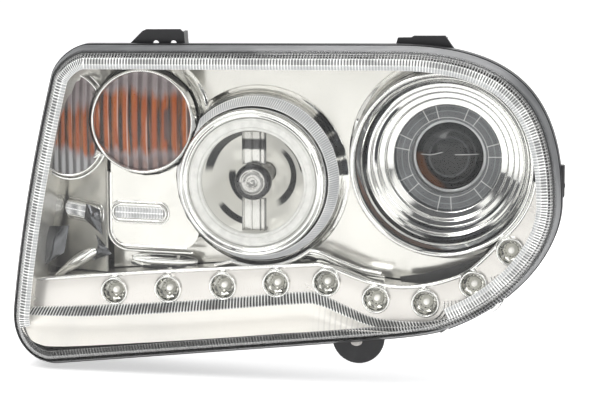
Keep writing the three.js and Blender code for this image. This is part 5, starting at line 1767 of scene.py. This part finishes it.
@dataclass
class Housing:
    """The black housing: a can behind the lens, a drum behind each unit, caps, sockets and screws."""

    rear: float = 84.0
    drum_wall: float = 3.0

    def build(self) -> None:
        """Builds the can, its drums and ribs, and every fitting on the back."""
        self.can()
        self.drums()
        self.caps()
        self.sockets()
        self.screws()
        dress("lens_seal", RUBBER)

    def can(self) -> None:
        """Builds the can from rings: glue channel, rim, walls and a back that closes to its middle, then cuts
        the drums' bores through the back."""
        outer = [(0.0, 2.4), (0.0, 13.4), (1.0, 14.4), (8.0, 15.6), (9.4, 17.4), (11.6, 46.0), (12.0, 50.0)]
        inner = [(2.2, 2.4), (2.4, 11.6), (8.8, 11.6), (9.2, 3.0), (10.8, 3.0), (11.2, 14.0), (12.6, 17.6),
                 (14.6, 46.0), (15.0, 50.0)]
        outside = [leaning(inset(d), depth) for d, depth in outer]
        inside = [leaning(inset(d), depth) for d, depth in inner]
        scale = np.array([0.93, 0.9])
        for rings, gap, back in ((outside, 12.0, self.rear), (inside, 15.0, self.rear - 3)):
            base = inset(gap)
            rings += [leaning(base * (1 + (scale - 1) * s), depth)
                      for s, depth in ((0.5, (50 + back) / 2), (0.94, back - 3.0), (0.985, back - 0.8))]
            rings += [leaning(base * scale * s, back) for s in (0.985, 0.8, 0.5, 0.2, 0.0)]
        skin = Skin().grid(np.stack(outside), False, True).grid(np.stack(inside), False, True)
        skin.grid(np.stack([outside[0], inside[0]]), False, True)
        piece = make_piece("housing_can", skin, BLACK,
                           Fitting("housing", "black_plastic", ("housing_shell",), 40))
        bores = [(PROJECTOR, 63.0), (HIGH, 61.0), (TURN, 13.0), (MARKER_SOCKET, 10.0)]
        for centre, radius in bores:
            cutter = Skin().lathe(np.array([[0, 62.0], [radius, 62.0], [radius, 140.0], [0, 140.0]]), centre,
                                  96, False)
            cut_with(piece, cutter)
        ribs = Skin()
        for x, low, high in ((-172, -72, 104), (-118, -78, 104), (-60, -85, 104), (20, -84, 104),
                             (52, -80, 104),
                             (84, -76, 104), (190, -44, 76)):
            ribs.block((x - 1.2, 78.0, low), (x + 1.2, 89.0, high), 1.0, True)
        for z, reach in ((-74, 84), (-20, 190), (74, 190), (100, 140)):
            ribs.block((-196, 78.0, z - 1.2), (reach, 88.0, z + 1.2), 1.0, True)
        make_piece("housing_ribs", ribs, BLACK, ON_BLACK)
        lug = Skin().block((240, -21, 16), (245.2, -11.5, 44), 1.2)
        lug.block((238, -19, 24), (245.8, -13, 28), 0.8)
        make_piece("housing_inner_lug", lug, BLACK, ON_BLACK)
        stop = Skin().block((11, 8, -122.6), (36, 18, -117.0), 1.4, True).block((20, 7, -124.4),
                                                                                (29, 15, -118), 1.2, True)
        make_piece("housing_lower_stop", stop, BLACK, ON_BLACK)

    def drums(self) -> None:
        """Builds the drums behind the units and sockets: turned shells with a lip at the back, and ribs."""
        skin = Skin()
        for centre, radius, start, back, bore in (
            (PROJECTOR, 66.0, 60.0, 152.0, 43.0), (HIGH, 64.0, 62.0, 118.0, 43.0),
            (TURN, 19.0, 86.0, 105.0, 12.6), (MARKER_SOCKET, 17.0, 92.0, 113.0, 9.6),
            (node_axis("vent_cap"), 9.0, 70.0, 86.0, 4.4),
            (node_axis("wiring_socket"), 18.0, 84.0, 101.0, 12.0),
        ):
            wall = min(self.drum_wall, radius - bore - 1)
            profile = [[radius, start], [radius, back - 4], [radius - 1.6, back], [bore, back],
                       [bore, back - wall],
                       [radius - wall, back - wall], [radius - wall, start]]
            skin.lathe(rounded(profile, 1.0, 4), centre, 128)
        make_piece("housing_drums", skin, BLACK, Fitting("housing", "black_plastic", (), 40))
        ribs = Skin()
        for centre, radius, start, back in ((PROJECTOR, 66.0, 62.0, 144.0), (HIGH, 64.0, 78.0, 112.0)):
            for angle in np.radians(np.arange(20, 380, 30)):
                c, s = math.cos(angle), math.sin(angle)
                path = np.stack([centre[0] + np.full(6, radius + 0.4) * c, np.linspace(start, back, 6),
                                 centre[1] + np.full(6, radius + 0.4) * s], 1)
                ribs.tube(path, 1.7, 8)
            band = rounded([[radius - 0.5, back - 20], [radius + 1.6, back - 19], [radius + 1.6, back - 16],
                            [radius - 0.5, back - 15]], 0.6)
            ribs.lathe(band, centre, 128)
        make_piece("housing_drum_ribs", ribs, BLACK, ON_BLACK)

    def caps(self) -> None:
        """Builds the service caps: a lobed rim, a dished face with a ring and two pads, and a grip."""
        for centre, node, body in ((PROJECTOR, "low_beam_service_cap", "low_beam_cap"),
                                   (HIGH, "high_beam_service_cap", "high_beam_cap")):
            back = node_depths(node)[1] - 17.0
            plug = rounded([[0, back + 4.8], [38, back + 4.8], [39.4, back + 3.4], [39.4, back - 3],
                            [42.4, back - 3],
                            [42.4, back + 0.35], [44.0, back + 0.35], [44.0, back + 2.0], [44.0, back + 7.4],
                            [41.0, back + 8],
                            [38.6, back + 6.4], [20, back + 6.0], [18.6, back + 7.6], [0, back + 7.8]], 0.7,
                           4, False)
            rim = rounded([[43.4, back + 0.4], [50, back + 0.4], [50, back + 5.2], [48.2, back + 7.4],
                           [43.4, back + 8]], 1.0, 4)
            skin = Skin().lathe(plug, centre, 128, False).lathe(rim, centre, 288, True, 36, 1.6)
            x, z = centre
            skin.block((x - 32, back + 6, z - 4), (x + 32, back + 17, z + 4), 2.2)
            for side in Side:
                skin.block((x + side.value * 24 - 5, back + 5.6, z - 10),
                           (x + side.value * 24 + 5, back + 8.6, z + 10), 1.2)
            make_piece(f"{body}_dressed", skin, BLACK, Fitting(body, "black_plastic", (node,), 40))

    def sockets(self) -> None:
        """Builds the quarter-turn bulb holders with grips and contacts, the vent and the wiring inlet."""
        for centre, node, bore in ((TURN, "turn_bulb_socket", 12.6),
                                   (MARKER_SOCKET, "marker_bulb_socket", 9.6)):
            body = node.replace("_bulb", "")
            boss = node_depths(node)[1] - 16.0
            profile = rounded([[0, boss - 15.6], [bore - 0.6, boss - 15.6], [bore - 0.6, boss + 0.35],
                               [bore + 4.3, boss + 0.35],
                               [bore + 4.3, boss + 3.4], [bore - 0.6, boss + 4.4], [bore - 1.2, boss + 11.4],
                               [bore - 2.4, boss + 12], [0, boss + 12]], 0.6, 4, False)
            skin = Skin().lathe(profile, centre, 72, False)
            x, z = centre
            skin.block((x - bore - 2, boss + 3.2, z - 2.2), (x + bore + 2, boss + 16, z + 2.2), 1.0)
            skin.block((x - 5, boss + 10, z - 7), (x + 5, boss + 15.4, z + 7), 1.0)
            make_piece(f"{node}_dressed", skin, GREY, Fitting(body, "grey_plastic", (node,), 40))
        vent = node_axis("vent_cap")
        y = node_depths("vent_cap")[1] - 10.0
        profile = rounded([[0, y - 8], [4, y - 8], [4, y + 0.35], [8.5, y + 0.35], [8.5, y + 7],
                           [7.0, y + 9.8], [0, y + 10]], 0.8, 5, False)
        make_piece("vent_cap_dressed", Skin().lathe(profile, vent, 144, False, 18, 0.9), RUBBER,
                   Fitting("housing", "rubber", ("vent_cap",)))
        dress("wiring_socket", BLACK)
        x, z = node_axis("wiring_socket")
        y = node_depths("wiring_socket")[0] + 6.0
        pins = Skin()
        for column in (-7.2, -2.4, 2.4, 7.2):
            for row in (-2.8, 2.8):
                pins.block((x + column - 0.8, y + 5.0, z + row - 0.8),
                           (x + column + 0.8, y + 15, z + row + 0.8), 0.3)
        make_piece("wiring_socket_pins", pins, SPRING, Fitting("housing", "spring_steel"))

    def screws(self) -> None:
        """Builds the aiming screws: a shaft with a collar, and a lobed knob with a hole in its end."""
        for node in ("low_beam_aim_screw", "high_beam_aim_screw"):
            at = node_axis(node)
            front, end = node_depths(node)
            back = end - 14.0
            shaft = rounded([[0, front], [2.9, front + 0.6], [2.9, back + 0.35], [7.5, back + 0.35],
                             [7.5, back + 3], [0, back + 3.4]], 0.4, 3, False)
            knob = rounded([[0, back + 2.6], [6.4, back + 2.6], [6.4, back + 12.8], [5.4, back + 13.9],
                            [2.2, back + 13.9],
                            [2.0, back + 10], [0, back + 10]], 0.5, 3, False)
            skin = Skin().lathe(shaft, at, 48, False).lathe(knob, at, 120, False, 12, 0.9)
            make_piece(f"{node}_dressed", skin, GREY,
                       Fitting(node.replace("_aim", ""), "grey_plastic", (node,), 40))


def cut_with(piece: bpy.types.Object, cutter: Skin) -> None:
    """Cuts a closed skin out of a piece's mesh for good.

    Args:
        piece: The piece.
        cutter: What is taken away, in the lamp's millimetres.
    """
    made = bpy.data.meshes.new("cutter")
    made.from_pydata(list(map(tuple, np.concatenate(cutter.points) / 1000 + ORIGIN)), [],
                     [tuple(face) for face in np.concatenate(cutter.faces).tolist()])
    work = bmesh.new()
    work.from_mesh(made)
    bmesh.ops.remove_doubles(work, verts=work.verts, dist=2e-6)
    bmesh.ops.recalc_face_normals(work, faces=work.faces)
    work.to_mesh(made)
    work.free()
    tool = bpy.data.objects.new("cutter", made)
    bpy.context.scene.collection.objects.link(tool)
    step = piece.modifiers.new("bore", "BOOLEAN")
    step.operation, step.solver, step.object = "DIFFERENCE", "EXACT", tool
    bpy.context.view_layer.update()
    seen = piece.evaluated_get(bpy.context.evaluated_depsgraph_get())
    result = bpy.data.meshes.new_from_object(seen)
    piece.modifiers.clear()
    piece.data = result
    bpy.data.objects.remove(tool)


@dataclass
class Brackets:
    """The fixings round the lamp: the folded upper bracket, the ribbed tab, the lower tab and its pin."""

    tab_x: float = 62.0
    tab_z: float = -119.6
    tab_r: float = 23.4

    def build(self) -> None:
        """Dresses the upper brackets and builds the lower tab and its locating pin."""
        dress("upper_outer_bracket", BLACK_STEEL)
        dress("upper_inner_bracket", BLACK)
        y = node_depths("lower_bracket")[0]
        turn = np.linspace(math.pi, 2 * math.pi, 72)
        arc = np.stack([self.tab_x + self.tab_r * np.cos(turn), self.tab_z + self.tab_r * np.sin(turn)], 1)
        flat = evenly(np.vstack([arc, [[self.tab_x + self.tab_r, self.tab_z + 6],
                                       [self.tab_x - self.tab_r, self.tab_z + 3.4]]]), 160, True)
        middle = np.array([self.tab_x, self.tab_z - 6.0])
        rings = [np.insert(middle + (flat - middle) * s, 1, depth, axis=1)
                 for s, depth in ((0.97, y), (1.0, y + 0.5), (1.0, y + 3.5), (0.97, y + 4.0))]
        make_piece("lower_tab", Skin().stack(rings), BLACK,
                   Fitting("housing", "black_plastic", ("lower_bracket",), 30))
        path = np.stack([np.full(14, self.tab_x), np.full(14, 2.0),
                         np.linspace(self.tab_z + 4, self.tab_z - 5.2, 14)], 1)
        radius = 5.4 * np.sqrt(np.clip(1 - (np.linspace(0, 1, 14) ** 6), 0.05, 1))
        pin = Skin().tube(path, radius, 40).block((self.tab_x - 3, 2, self.tab_z - 3),
                                                  (self.tab_x + 3, y + 1, self.tab_z + 3), 0.8)
        make_piece("locating_pin", pin, PALE_GREY, Fitting("housing", "grey_plastic"))
        rib = spline([(100, 10.5, 141.6), (103, 10.5, 143.8), (112, 9.5, 144.2), (138, 6.5, 143.6),
                      (146, 5.5, 141.0)], 60)
        make_piece("upper_tab_edge", Skin().tube(rib, 0.8, 10), SATIN, Fitting("housing", "cast_metal"))


@dataclass(frozen=True)
class Studio:
    """The camera, the plain pale floor and the soft light."""

    azimuth: float = 10.0
    elevation: float = 9.0
    distance: float = 2.4
    lens: float = 163.3
    aim: tuple[float, float] = (0.0114, 0.0021)

    def build(self) -> None:
        """Builds the camera, the floor, the sky and the lamps."""
        a, e = math.radians(self.azimuth), math.radians(self.elevation)
        back = Vector((math.sin(a) * math.cos(e), -math.cos(a) * math.cos(e), math.sin(e)))
        right = Vector((math.cos(a), math.sin(a), 0))
        up = back.cross(right)
        eye = bpy.data.objects.new("camera", bpy.data.cameras.new("camera"))
        bpy.context.scene.collection.objects.link(eye)
        eye.data.lens, eye.data.sensor_width = self.lens, 36.0
        eye.data.clip_start, eye.data.clip_end = 0.05, 60.0
        eye.matrix_world = Matrix.Translation(
            Vector(ORIGIN) + right * self.aim[0] + up * self.aim[1] + back * self.distance
        ) @ Matrix((right, up, back)).transposed().to_4x4()
        bpy.context.scene.camera = eye
        self.floor()
        self.sky()
        for name, place, size, power in (("key", (-0.9, -1.5, 1.9), 1.4, 26.0),
                                         ("fill", (1.5, -1.2, 1.1), 1.1, 12.0),
                                         ("rim", (0.2, 1.5, 1.7), 1.6, 18.0)):
            self.soft_light(name, place, size, power)
        view = bpy.context.scene.view_settings
        view.view_transform, view.exposure = "Standard", 0.0

    def floor(self) -> None:
        """Builds a plain pale floor just under the lamp: a square grid of four faces."""
        low = CAD_BOX[0][2] - 0.0026
        spots = np.linspace(-7.0, 7.0, 3)
        x, y = np.meshgrid(spots, spots)
        mesh = bpy.data.meshes.new("floor")
        points = np.stack([x, y, np.full_like(x, low)], -1).reshape(-1, 3)
        mesh.from_pydata([tuple(p) for p in points], [],
                         [(0, 1, 4, 3), (1, 2, 5, 4), (3, 4, 7, 6), (4, 5, 8, 7)])
        floor = bpy.data.objects.new("floor", mesh)
        bpy.context.scene.collection.objects.link(floor)
        mesh.materials.append(PaleFloor("pale_floor").material())

    def sky(self) -> None:
        """Builds a pale sky seen as white, with soft grey cards for bright parts to show."""
        world = bpy.data.worlds.new("studio")
        world.use_nodes = True
        world.node_tree.nodes.clear()
        bpy.context.scene.world = world
        paint = Paint(world.node_tree)
        spot = paint.add("ShaderNodeTexCoord")[0]
        x, y, z = paint.add("ShaderNodeSeparateXYZ", None, {0: spot})
        in_front = y.ramp(-0.1, 0.25, 1, 0)
        bars = (x + 0.68).size().ramp(0.1, 0.18, 1, 0) + (x - 0.6).size().ramp(0.13, 0.2, 1, 0)
        bars = bars + (z - 0.5).size().ramp(0.14, 0.22, 1, 0) + (x - 0.12).size().ramp(0.02, 0.05, 1,
                                                                                       0) * z.ramp(0.1, 0.2)
        dark = bars * in_front + (z - 0.9).size().ramp(0.03, 0.06, 1, 0)
        shown = paint.blend(dark.ramp(0.0, 1.0) * 0.95, (1.0, 0.995, 0.985, 1.0), (0.04, 0.042, 0.048, 1.0))
        behind = paint.blend(y.ramp(0.0, 0.5) * 0.5, shown, (0.4, 0.41, 0.43, 1.0))
        camera_ray = paint.add("ShaderNodeLightPath")[0]
        colour = paint.blend(camera_ray, behind, (1.0, 1.0, 1.0, 1.0))
        background = paint.add("ShaderNodeBackground", None, {"Color": colour, "Strength": 1.15})[0]
        paint.add("ShaderNodeOutputWorld", None, {"Surface": background})

    def soft_light(self, name: str, place: tuple[float, float, float], size: float, power: float) -> None:
        """Adds a square soft light that faces the lamp.

        Args:
            name: Its name.
            place: Where it stands, from the lamp's middle, in metres.
            size: The length of its side.
            power: Its power in watts.
        """
        made = bpy.data.lights.new(name, "AREA")
        made.energy, made.size = power, size
        lamp = bpy.data.objects.new(name, made)
        lamp.location = Vector(ORIGIN) + Vector(place)
        lamp.rotation_euler = (-Vector(place)).to_track_quat("-Z", "Y").to_euler()
        bpy.context.scene.collection.objects.link(lamp)


def main() -> None:
    """Builds every sub-assembly in order and reports its pieces."""
    logging.basicConfig(level=logging.INFO, format="%(name)s: %(message)s")
    Studio().build()
    for part in (Border(), Bezels(), LedStrip(), TurnSignal(), Reflexes(), HighBeam(), Projector(), Housing(),
                 Brackets()):
        LOG.info("building %s", type(part).__name__)
        part.build()


if __name__ == "__main__":
    main()
